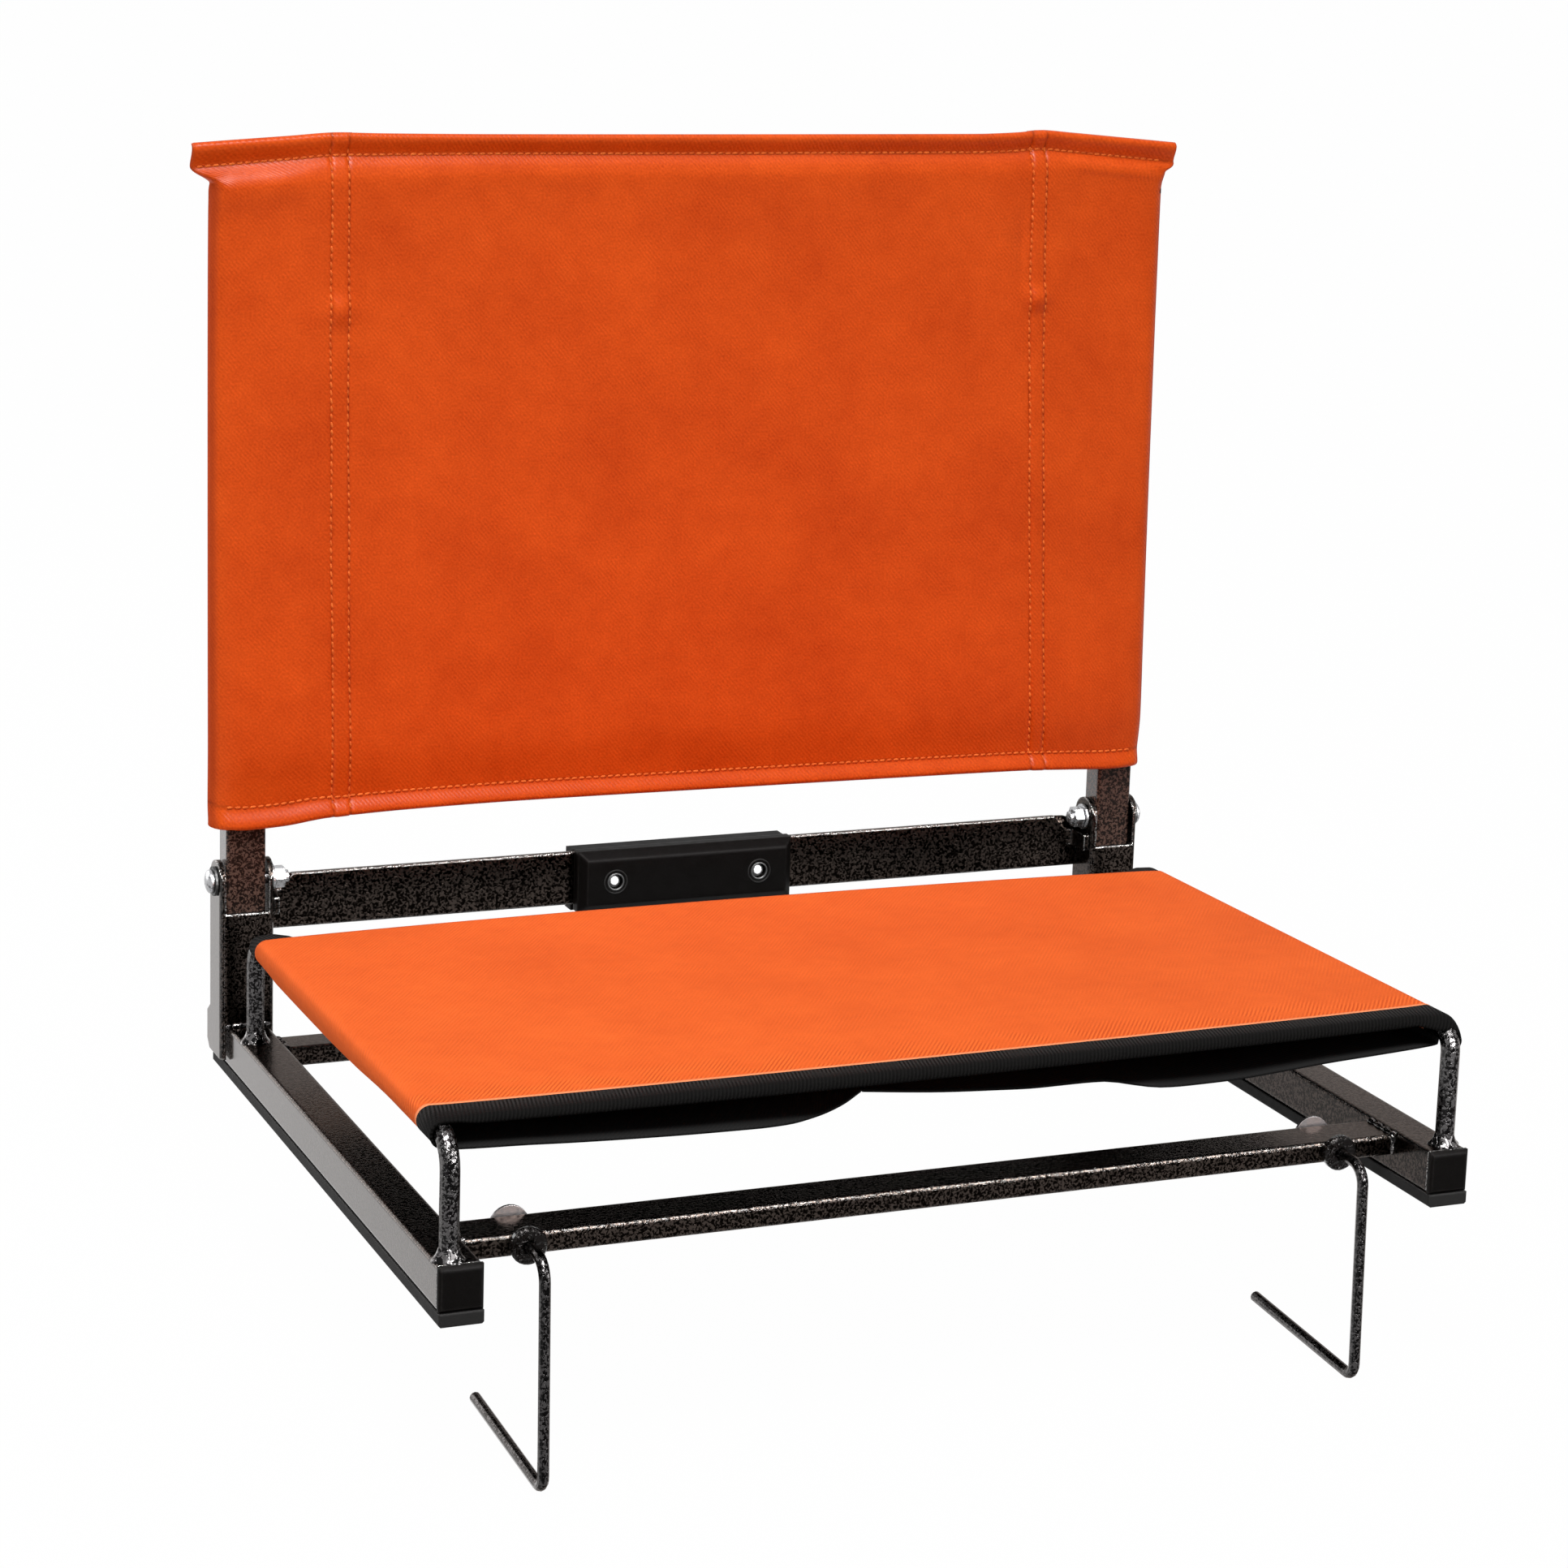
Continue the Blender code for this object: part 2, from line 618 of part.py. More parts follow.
def carry_bar():
    """A flat bar between the brackets, with a bent tab welded along each inner ear."""
    # The face outline is drawn as (x, z), which lying along Y turns upright.
    bar = section_solid("carry_bar", [carry_bar_face()], BAR_THICKNESS, ALONG_Y,
                        (0.0, BAR_Y, 0.0), VEIN_COAT)
    for side, sign in SIDES:
        z = PIVOT_Z - TAB_BELOW_PIVOT - TAB_HEIGHT / 2
        tab = section_solid(f"{side}_bar_tab", [tab_plan(sign)], TAB_HEIGHT, ALONG_Z,
                            (0.0, 0.0, z), None, CUTTERS)
        combine(bar, hide(tab), "UNION")
    for side, sign in SIDES:
        centre = (GRIP_SHIFT + sign * SCREW_SPACING / 2, BAR_Y, GRIP_Z)
        hole = drill(f"{side}_bar_screw_hole", SCREW_RADIUS + HOLE_CLEARANCE, 4 * BAR_THICKNESS,
                     ALONG_Y, centre)
        combine(bar, hole, "DIFFERENCE")


def grip_half(name, depth, chamfer, facing, drop):
    """Half of the moulded grip: its outer face is chamfered, and it takes two countersunk fasteners."""
    body = bmesh.new()
    bmesh.ops.create_cube(body, size=1.0)
    bmesh.ops.scale(body, vec=(GRIP_LENGTH, depth, GRIP_HEIGHT), verts=body.verts)
    face = min(body.faces, key=lambda each: facing * -each.calc_center_median().y)
    bmesh.ops.bevel(body, geom=list(face.edges), offset=chamfer, segments=1, affect="EDGES")
    mesh = bpy.data.meshes.new(name)
    body.to_mesh(mesh)
    body.free()
    half = add_object(name, mesh, BLACK_PLASTIC)
    half.location = (GRIP_SHIFT, BAR_Y + facing * (BAR_THICKNESS / 2 + FIT + depth / 2), GRIP_Z - drop)
    face_y = BAR_Y + facing * (BAR_THICKNESS / 2 + FIT + depth)
    for side, sign in SIDES:
        x = GRIP_SHIFT + sign * SCREW_SPACING / 2
        hole = drill(f"{side}_{name}_hole", SCREW_RADIUS + HOLE_CLEARANCE, 4 * depth, ALONG_Y,
                     (x, face_y, GRIP_Z))
        combine(half, hole, "DIFFERENCE")
        bore = drill(f"{side}_{name}_counterbore", SCREW_HEAD_RADIUS + COUNTERBORE_CLEARANCE,
                     2 * COUNTERBORE_DEPTH, ALONG_Y, (x, face_y, GRIP_Z))
        combine(half, bore, "DIFFERENCE")
    return face_y


def hexagon(flats):
    """Gives a hexagon by its width across flats."""
    return circle((0, 0), flats / math.sqrt(3), 6)


def grip_fasteners(side, sign, front_face, rear_face):
    """A button-head screw through the grip and the bar, and the nut behind."""
    x = GRIP_SHIFT + sign * SCREW_SPACING / 2
    seat_y = front_face + COUNTERBORE_DEPTH - FIT
    end_y = rear_face
    shank = end_y - seat_y
    profile = [(0.0, SCREW_HEAD_HEIGHT)]
    profile += [(SCREW_HEAD_RADIUS * 0.6, SCREW_HEAD_HEIGHT * 0.92)]
    profile += [(SCREW_HEAD_RADIUS, SCREW_HEAD_HEIGHT * 0.35)]
    profile += [(SCREW_HEAD_RADIUS, 0.0), (SCREW_RADIUS, 0.0), (SCREW_RADIUS, -shank), (0.0, -shank)]
    turned(f"{side}_grip_screw", profile, False, ALONG_Y, (x, seat_y, GRIP_Z), ZINC, 16)
    nut_y = rear_face - COUNTERBORE_DEPTH + FIT + GRIP_NUT_HEIGHT / 2
    outlines = [hexagon(GRIP_NUT_FLATS), circle((0, 0), SCREW_RADIUS + HOLE_CLEARANCE, 16)]
    section_solid(f"{side}_grip_nut", outlines, GRIP_NUT_HEIGHT, ALONG_Y, (x, nut_y, GRIP_Z), ZINC)


def upright(side, sign):
    """A rectangular tube that turns on the pivot bolt, with a tail that stops against the web."""
    outlines = [
        rounded_rectangle(UPRIGHT_WIDTH, UPRIGHT_DEPTH, UPRIGHT_CORNER),
        rounded_rectangle(UPRIGHT_WIDTH - 2 * UPRIGHT_WALL, UPRIGHT_DEPTH - 2 * UPRIGHT_WALL,
                          UPRIGHT_CORNER / 2),
    ]
    length = UPRIGHT_RISE + UPRIGHT_TAIL
    x = sign * RAIL_X
    tube = section_solid(f"{side}_upright", outlines, length, ALONG_Z,
                         (x, PIVOT_Y, PIVOT_Z - UPRIGHT_TAIL + length / 2), VEIN_COAT)
    hole = drill(f"{side}_upright_hole", BOLT_RADIUS + HOLE_CLEARANCE, 2 * UPRIGHT_WIDTH, ALONG_X,
                 (x, PIVOT_Y, PIVOT_Z))
    combine(tube, hole, "DIFFERENCE")
    return tube


def upright_plug(side, sign):
    """A moulded plug that closes the top of the upright."""
    width = UPRIGHT_WIDTH - 2 * UPRIGHT_WALL - 2 * FIT
    depth = UPRIGHT_DEPTH - 2 * UPRIGHT_WALL - 2 * FIT
    body = bmesh.new()
    bmesh.ops.create_cube(body, size=1.0)
    bmesh.ops.scale(body, vec=(UPRIGHT_WIDTH, UPRIGHT_DEPTH, PLUG_HEAD), verts=body.verts)
    top = max(body.faces, key=lambda each: each.calc_center_median().z)
    under = min(body.faces, key=lambda each: each.calc_center_median().z)
    bmesh.ops.bevel(body, geom=list(top.edges), offset=UPRIGHT_CORNER / 2, segments=1, affect="EDGES")
    stem = bmesh.ops.extrude_face_region(body, geom=[under])
    moved = [each for each in stem["geom"] if isinstance(each, bmesh.types.BMVert)]
    shrink = (width / UPRIGHT_WIDTH, depth / UPRIGHT_DEPTH, 1.0)
    bmesh.ops.scale(body, vec=shrink, verts=moved)
    foot = bmesh.ops.extrude_face_region(body, geom=[each for each in stem["geom"]
                                                    if isinstance(each, bmesh.types.BMFace)])
    dropped = [each for each in foot["geom"] if isinstance(each, bmesh.types.BMVert)]
    bmesh.ops.translate(body, vec=(0.0, 0.0, -PLUG_LENGTH), verts=dropped)
    inner = [each for each in stem["geom"] if isinstance(each, bmesh.types.BMFace) and each.is_valid]
    bmesh.ops.delete(body, geom=[under] + inner, context="FACES_ONLY")
    mesh = bpy.data.meshes.new(f"{side}_upright_plug")
    body.to_mesh(mesh)
    body.free()
    made = add_object(f"{side}_upright_plug", mesh, BLACK_PLASTIC)
    made.location = (sign * RAIL_X, PIVOT_Y, UPRIGHT_TOP + FIT + PLUG_HEAD / 2)
    return made


def pivot_hardware(side, sign):
    """The pivot bolt with its washers and the lock nut on the inner ear."""
    x = sign * RAIL_X
    half = BRACKET_OUTER / 2
    outward = (0.0, sign * math.pi / 2, 0.0)
    head_seat = half + FIT + WASHER_THICKNESS + FIT
    nut_seat = head_seat
    tip = nut_seat + NUT_HEIGHT + BOLT_END
    dome = [(BOLT_HEAD_RADIUS * math.cos(math.radians(angle)),
             head_seat + BOLT_HEAD_HEIGHT * (0.35 + 0.65 * math.sin(math.radians(angle))))
            for angle in (90, 65, 40, 15, 0)]
    profile = [(0.0, dome[0][1])] + dome[1:]
    profile += [(BOLT_HEAD_RADIUS, head_seat), (BOLT_RADIUS, head_seat), (BOLT_RADIUS, -tip), (0.0, -tip)]
    turned(f"{side}_pivot_bolt", profile, False, outward, (x, PIVOT_Y, PIVOT_Z), ZINC)
    bore = BOLT_RADIUS + HOLE_CLEARANCE
    for name, radius, place in (("outer", OUTER_WASHER_RADIUS, half + FIT),
                                ("inner", INNER_WASHER_RADIUS, -half - FIT - WASHER_THICKNESS)):
        top = place + WASHER_THICKNESS
        ring = [(radius, top), (radius, place), (bore, place), (bore, top)]
        finish = DARK_STEEL if name == "outer" else ZINC
        turned(f"{side}_{name}_washer", ring, True, outward, (x, PIVOT_Y, PIVOT_Z), finish)
    outlines = [hexagon(NUT_FLATS), circle((0, 0), bore)]
    nut_x = x - sign * (nut_seat + NUT_HEIGHT / 2)
    section_solid(f"{side}_lock_nut", outlines, NUT_HEIGHT, ALONG_X, (nut_x, PIVOT_Y, PIVOT_Z), ZINC)


def bench_hook(side, sign):
    """A bent rod that passes through the front tube and turns there, with its collar and retainer."""
    x = sign * HOOK_X
    retainer_seat = CROSS_REAR_FACE + FIT
    rear_end = retainer_seat + RETAINER_BORE_DEPTH - FIT
    foot = (HOOK_LEG_Y - HOOK_LEG_LEAN, HOOK_Z - HOOK_DROP)
    corners = [(rear_end, HOOK_Z), (HOOK_LEG_Y, HOOK_Z), foot, (foot[0] + HOOK_REACH, foot[1] + HOOK_LIFT)]
    path = bent_path(corners, (HOOK_TOP_BEND, HOOK_FOOT_BEND))
    hook = rod(f"{side}_bench_hook", path, HOOK_RADIUS, x, VEIN_COAT)
    bore = HOOK_RADIUS + HOLE_CLEARANCE
    face = COLLAR_THICKNESS
    ring = [(COLLAR_RADIUS - COLLAR_ROUND, face), (COLLAR_RADIUS, face - COLLAR_ROUND)]
    ring += [(COLLAR_RADIUS, 0.0), (bore, 0.0), (bore, face)]
    collar = turned(f"{side}_hook_collar", ring, True, ALONG_Y,
                    (x, CROSS_FRONT_FACE - FIT, HOOK_Z), BLACK_PLASTIC)
    dome = [(RETAINER_RADIUS * math.cos(math.radians(angle)),
             RETAINER_RIM + (RETAINER_DOME - RETAINER_RIM + 0.001) * math.sin(math.radians(angle)))
            for angle in (90, 60, 30, 0)]
    cap = [(0.0, dome[0][1])] + dome[1:]
    cap += [(RETAINER_RADIUS, 0.0), (bore, 0.0), (bore, RETAINER_BORE_DEPTH), (0.0, RETAINER_BORE_DEPTH)]
    rearward = (-math.pi / 2, 0.0, 0.0)
    retainer = turned(f"{side}_hook_retainer", cap, False, rearward, (x, retainer_seat, HOOK_Z), ZINC)
    axis = make_axis(f"{side}_hook_axis", (x, FRONT_CROSS_Y, HOOK_Z))
    carry(axis, hook, collar, retainer)


def thicken(sheet, thickness):
    """Gives an open sheet an even thickness about its middle."""
    solid = sheet.modifiers.new("thickness", "SOLIDIFY")
    solid.thickness = thickness
    solid.offset = 0.0
    solid.use_even_offset = True


def wrap_profile(radius):
    """The cloth across the seat, round the left rod, over to the right one and round it."""
    span = 24
    profile = arc((-ROD_X, 0.0), radius, 270, 90, 10)
    profile += [(ROD_X * (2 * step / span - 1), radius) for step in range(1, span)]
    profile += arc((ROD_X, 0.0), radius, 90, -90, 10)
    return profile


def middle(x):
    """Falls from 1 midway between the rods to 0 at each of them."""
    return max(0.0, 1 - (x / ROD_X) ** 2)


def sewn_sheet(name, rows, material):
    """Joins rows of points into a sheet of cloth with an even thickness."""
    body = bmesh.new()
    lines = [[body.verts.new(point) for point in row] for row in rows]
    for first, second in zip(lines, lines[1:]):
        for index in range(len(first) - 1):
            body.faces.new((first[index], first[index + 1], second[index + 1], second[index]))
    bmesh.ops.recalc_face_normals(body, faces=body.faces)
    mesh = bpy.data.meshes.new(name)
    body.to_mesh(mesh)
    body.free()
    thicken(add_object(name, mesh, material), CLOTH)


def seat_panel():
    """The seat cloth, drawn tight over the rods and round each of them, and crowned at the rear edge."""
    rows = []
    for step in range(7):
        share = step / 6
        row = []
        for x, rise in wrap_profile(WRAP_RADIUS):
            y = SEAT_FRONT_Y + share * (SEAT_REAR_Y - SEAT_FRONT_Y)
            y += SEAT_REAR_BOW * share ** 2 * middle(x)
            row.append((x, y, seat_height(x, y) + rise + SEAT_CROWN * share ** 2 * middle(x)))
        rows.append(row)
    sewn_sheet("seat_panel", rows, ORANGE_CANVAS)


def turned_down(travel, flat):
    """How far out and down a strip has gone that lies flat and then turns down over its edge."""
    turn = (travel - flat) / TAPE_TURN
    if turn <= 0:
        return travel, 0.0
    if turn <= math.pi / 2:
        return flat + TAPE_TURN * math.sin(turn), TAPE_TURN * (1 - math.cos(turn))
    return flat + TAPE_TURN, TAPE_TURN * (1 + turn - math.pi / 2)


def edge_tape(name, facing, sizes, edge_y, bow, crown):
    """Tape sewn along an edge of the seat: round each rod, and turned down between them."""
    depth, flat, lip = sizes
    whole = flat + TAPE_TURN * math.pi / 2 + lip
    rows = []
    for step in range(10):
        share = step / 9
        row = []
        for x, rise in wrap_profile(TAPE_RADIUS):
            free = blend(ROD_X - abs(x), TAPE_RODWARD, TAPE_RODWARD + TAPE_SPREAD)
            out, down = turned_down(share * whole, flat)
            reach = share * depth * (1 - free) + out * free
            y = edge_y + facing * (FIT + reach) + bow * middle(x)
            row.append((x, y, seat_height(x, y) + rise + crown * middle(x) - down * free))
        rows.append(row)
    sewn_sheet(name, rows, BLACK_TWILL)


def front_tape():
    """The wide black tape that finishes the front edge of the seat."""
    sizes = (FRONT_TAPE_DEPTH, FRONT_TAPE_FLAT, FRONT_TAPE_LIP)
    edge_tape("seat_front_binding", -1, sizes, SEAT_FRONT_Y, 0.0, 0.0)


def rear_tape():
    """The black tape that turns down behind the rear edge of the seat."""
    sizes = (REAR_TAPE_DEPTH, REAR_TAPE_FLAT, REAR_TAPE_LIP)
    edge_tape("seat_rear_binding", 1, sizes, SEAT_REAR_Y, SEAT_REAR_BOW, SEAT_CROWN)


def underside_height(sign, inward, y):
    """Height of the slack under-cloth, by its distance in from the rod."""
    top = rod_height(sign, y) - TAPE_RADIUS
    run = LEFT_SLACK_RUN if sign < 0 else RIGHT_SLACK_RUN
    steep = UNDERSIDE_STEEP_SHARE * math.exp(-inward / UNDERSIDE_STEEP_RUN)
    slack = (1 - UNDERSIDE_STEEP_SHARE) * math.exp(-inward / run)
    return UNDERSIDE_FLOOR + (top - UNDERSIDE_FLOOR) * (steep + slack)


def left_front_edge(x):
    """Front edge of the left flap: straight, then a curve back to the join."""
    share = max(0.0, (x - LEFT_CORNER_X) / (UNDERSIDE_JOIN_X - LEFT_CORNER_X))
    return UNDERSIDE_SETBACK * share ** 2.2


def right_front_edge(x):
    """Front edge of the right flap: straight, a short rounded step, then a curve back to the join."""
    step_x = RIGHT_CORNER_X - RIGHT_CORNER_WIDTH
    if x >= step_x:
        share = max(0.0, (RIGHT_CORNER_X - x) / RIGHT_CORNER_WIDTH)
        return RIGHT_CORNER_SETBACK * (1 - math.cos(share * math.pi)) / 2
    share = (step_x - x) / (step_x - UNDERSIDE_JOIN_X)
    return RIGHT_CORNER_SETBACK + (UNDERSIDE_SETBACK - RIGHT_CORNER_SETBACK) * share ** 2.33


def underside_flap(side, sign, front_edge):
    """Half of the slack black under-cloth, from its rod to the join."""
    outer = ROD_X - UNDERSIDE_INSET
    inner = sign * UNDERSIDE_JOIN_X + UNDERSIDE_JOIN_GAP / 2
    end = SEAT_REAR_Y - UNDERSIDE_REAR_SETBACK
    columns = 32
    rows = []
    for step in range(8):
        row = []
        for column in range(columns + 1):
            share = column / columns
            inward = share ** (2.2 - share) * (outer - inner)
            x = sign * (outer - inward)
            front = UNDERSIDE_FRONT_Y + front_edge(x)
            y = front + (step / 7) ** 1.3 * (end - front)
            row.append((x, y, underside_height(sign, inward, y)))
        rows.append(row)
    sewn_sheet(f"{side}_seat_underside", rows, BLACK_TWILL)


def blend(value, low, high):
    """Eases from 0 to 1 between two limits."""
    share = min(1.0, max(0.0, (value - low) / (high - low)))
    return share * share * (3 - 2 * share)


def back_point(x, front, z):
    """Shapes one point of the back cloth's plain box."""
    across = abs(x)
    sleeve_inner = RAIL_X - SLEEVE_HALF
    sleeve_outer = RAIL_X + SLEEVE_HALF
    seam_edge = SEAM_X + SEAM_ROWS / 2
    rear_y = SLEEVE_FRONT_Y + PANEL_CLOTH
    front_y = SLEEVE_FRONT_Y
    if across > seam_edge:
        rear_y += (SLEEVE_REAR_Y - rear_y) * blend(across, seam_edge, sleeve_inner)
    if across > sleeve_outer:
        share = blend(across, sleeve_outer, BACK_HALF_WIDTH)
        front_y += (PIVOT_Y - EDGE_CLOTH / 2 - front_y) * share
        rear_y += (PIVOT_Y + EDGE_CLOTH / 2 - rear_y) * share
    share = (z - BACK_BOTTOM) / BACK_HEIGHT
    flare_end = 1 - HEM_HEIGHT / BACK_HEIGHT
    flare_start = flare_end - FLARE_HEIGHT / BACK_HEIGHT
    # Above the uprights both layers are drawn together into the flat top hem.
    closed = blend(share, flare_start, flare_end)
    front_y += (SLEEVE_FRONT_Y - front_y) * closed
    rear_y += (SLEEVE_FRONT_Y + HEM_CLOTH - rear_y) * closed
    y = front_y if front else rear_y
    sleeve = blend(across, seam_edge, sleeve_inner)
    edge = blend(across, sleeve_outer, BACK_HALF_WIDTH)
    bottom = BACK_BOTTOM - SLEEVE_DIP * (sleeve - 0.5 * edge)
    peak = 1 - min(1.0, abs(across - SEAM_X) / SEAM_X)
    top = BACK_TOP + SEAM_PEAK * peak ** 4 - CORNER_DIP * blend(across, SEAM_X, BACK_HALF_WIDTH)
    flare = CORNER_FLARE * edge * closed
    return (math.copysign(across + flare, x) if across else 0.0, y, bottom + share * (top - bottom))


def back_panel():
    """The back cloth: one layer between the seams and a closed sleeve over each upright."""
    seam = (SEAM_X - SEAM_ROWS / 2, SEAM_X, SEAM_X + SEAM_ROWS / 2)
    sleeve = (RAIL_X - SLEEVE_HALF, RAIL_X + SLEEVE_HALF)
    between = ((seam[2] + sleeve[0]) / 2, (sleeve[1] + BACK_HALF_WIDTH) / 2)
    stations = sorted(seam + sleeve + between + (SEAM_X / 3, 2 * SEAM_X / 3))
    hem = HEM_HEIGHT / BACK_HEIGHT
    flare = FLARE_HEIGHT / BACK_HEIGHT
    levels = (hem, 0.25, 0.5, 0.75, 1 - hem - 2 * flare, 1 - hem - flare, 1 - hem - flare / 2, 1 - hem)
    body = bmesh.new()
    bmesh.ops.create_cube(body, size=1.0)
    bmesh.ops.scale(body, vec=(2 * BACK_HALF_WIDTH, 1.0, BACK_HEIGHT), verts=body.verts)
    bmesh.ops.translate(body, vec=(0.0, 0.0, BACK_BOTTOM + BACK_HEIGHT / 2), verts=body.verts)
    for x in (*(-each for each in stations), 0.0, *stations):
        bmesh.ops.bisect_plane(body, geom=body.verts[:] + body.edges[:] + body.faces[:],
                               plane_co=(x, 0.0, 0.0), plane_no=(1.0, 0.0, 0.0))
    for share in levels:
        bmesh.ops.bisect_plane(body, geom=body.verts[:] + body.edges[:] + body.faces[:],
                               plane_co=(0.0, 0.0, BACK_BOTTOM + share * BACK_HEIGHT),
                               plane_no=(0.0, 0.0, 1.0))
    for vert in body.verts:
        vert.co = back_point(vert.co.x, vert.co.y < 0, vert.co.z)
    bmesh.ops.recalc_face_normals(body, faces=body.faces)
    mesh = bpy.data.meshes.new("back_panel")
    body.to_mesh(mesh)
    body.free()
    panel = add_object("back_panel", mesh, ORANGE_CANVAS)
    roof = UPRIGHT_TOP + 2 * FIT + PLUG_HEAD
    floor = PIVOT_Z
    for side, sign in SIDES:
        pocket = block(f"{side}_sleeve_pocket",
                       (UPRIGHT_WIDTH + 2 * FIT, UPRIGHT_DEPTH + 2 * FIT, roof - floor),
                       (sign * RAIL_X, PIVOT_Y, (roof + floor) / 2), None, CUTTERS)
        combine(panel, hide(pocket), "DIFFERENCE")
    return panel


def folding_back():
    """Everything that turns with the back, carried on the fold axis."""
    pieces = [back_panel()]
    for side, sign in SIDES:
        pieces.append(upright(side, sign))
        pieces.append(upright_plug(side, sign))
    carry(make_axis("back_fold_axis", (0.0, PIVOT_Y, PIVOT_Z)), *pieces)


def base_frame():
    """The welded base with its caps, runners and brackets."""
    for side, sign in SIDES:
        side_rail(side, sign)
        runner(side, sign)
        end_cap(side, sign, "front", -1)
        end_cap(side, sign, "rear", 1)
        hinge_bracket(side, sign)
        seat_rod(side, sign)
        pivot_hardware(side, sign)
    front_cross_tube()
    cross_tube("rear_cross_tube", REAR_CROSS_DEPTH, REAR_CROSS_Y)


def carry_handle():
    """The flat bar, the two halves of its grip and their fasteners."""
    carry_bar()
    front_face = grip_half("grip_front_half", GRIP_FRONT_DEPTH, GRIP_CHAMFER, -1, 0.0)
    rear_face = grip_half("grip_rear_half", GRIP_REAR_DEPTH, GRIP_REAR_CHAMFER, 1, GRIP_REAR_DROP)
    for side, sign in SIDES:
        grip_fasteners(side, sign, front_face, rear_face)


def seat():
    """The seat cloth with the tape along its edges and the two flaps beneath."""
    seat_panel()
    front_tape()
    rear_tape()
    underside_flap("left", -1, left_front_edge)
    underside_flap("right", 1, right_front_edge)


base_frame()
carry_handle()
seat()
folding_back()
for hook_side, hook_sign in SIDES:
    bench_hook(hook_side, hook_sign)
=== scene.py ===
"""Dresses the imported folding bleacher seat: sewn cloth, stitching, weld beads, finishes, light and camera."""

import logging
import math
from dataclasses import dataclass
from enum import Enum
from typing import Any, Mapping, Optional, Sequence, Union

import bpy
import numpy as np
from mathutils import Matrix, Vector

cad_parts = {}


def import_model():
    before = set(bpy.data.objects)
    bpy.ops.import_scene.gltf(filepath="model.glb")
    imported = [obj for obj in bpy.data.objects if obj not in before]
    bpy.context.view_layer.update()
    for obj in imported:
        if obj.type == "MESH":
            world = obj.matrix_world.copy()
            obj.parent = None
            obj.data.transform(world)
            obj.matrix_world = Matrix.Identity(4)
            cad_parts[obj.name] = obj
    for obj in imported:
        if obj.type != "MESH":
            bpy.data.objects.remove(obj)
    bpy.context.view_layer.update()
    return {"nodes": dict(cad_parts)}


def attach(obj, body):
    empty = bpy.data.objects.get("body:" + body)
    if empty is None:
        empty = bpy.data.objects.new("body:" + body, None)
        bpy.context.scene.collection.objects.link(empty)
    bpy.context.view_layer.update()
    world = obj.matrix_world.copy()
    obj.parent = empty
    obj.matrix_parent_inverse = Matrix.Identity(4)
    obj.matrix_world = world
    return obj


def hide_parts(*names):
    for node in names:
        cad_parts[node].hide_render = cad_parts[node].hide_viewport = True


log = logging.getLogger("bleacher_seat")

Colour = tuple[float, float, float]
Point = tuple[float, float, float]
Span = tuple[float, float]
Keys = tuple[Span, ...]
Faces = list[tuple[int, ...]]
Material = bpy.types.Material
Piece = bpy.types.Object
Term = Union["Signal", float]

CLOTH_UV = "cloth"
CREASE_SHADE = "crease"
FULL_TURN = 2 * math.pi
QUARTER_TURN = math.pi / 2
LEFT, RIGHT = -1.0, 1.0
SIDES = (("left", LEFT), ("right", RIGHT))
WHITE = (1.0, 1.0, 1.0)


# Shader nodes


class Signal:
    """A shader socket that can stand in a Python expression."""

    def __init__(self, sheet: "NodeSheet", socket: bpy.types.NodeSocket) -> None:
        """Keeps the socket and the sheet of nodes that it belongs to."""
        self.sheet = sheet
        self.socket = socket

    def __add__(self, other: Term) -> "Signal":
        """Adds."""
        return self.sheet.combine("ADD", self, other)

    def __radd__(self, other: Term) -> "Signal":
        """Adds, with the plain number first."""
        return self.sheet.combine("ADD", other, self)

    def __sub__(self, other: Term) -> "Signal":
        """Subtracts."""
        return self.sheet.combine("SUBTRACT", self, other)

    def __rsub__(self, other: Term) -> "Signal":
        """Subtracts from a plain number."""
        return self.sheet.combine("SUBTRACT", other, self)

    def __mul__(self, other: Term) -> "Signal":
        """Multiplies."""
        return self.sheet.combine("MULTIPLY", self, other)

    def __rmul__(self, other: Term) -> "Signal":
        """Multiplies, with the plain number first."""
        return self.sheet.combine("MULTIPLY", other, self)

    def sine(self) -> "Signal":
        """Takes the sine."""
        return self.sheet.combine("SINE", self)

    def part(self, axis: str) -> "Signal":
        """Takes X, Y or Z out of a vector."""
        return self.sheet.add("ShaderNodeSeparateXYZ", inputs={"Vector": self}, output=axis)

    def eased(self, low: float, high: float) -> "Signal":
        """Eases from 0 at low to 1 at high."""
        inputs = {"Value": self, "From Min": low, "From Max": high}
        return self.sheet.add("ShaderNodeMapRange", {"interpolation_type": "SMOOTHSTEP"}, inputs)


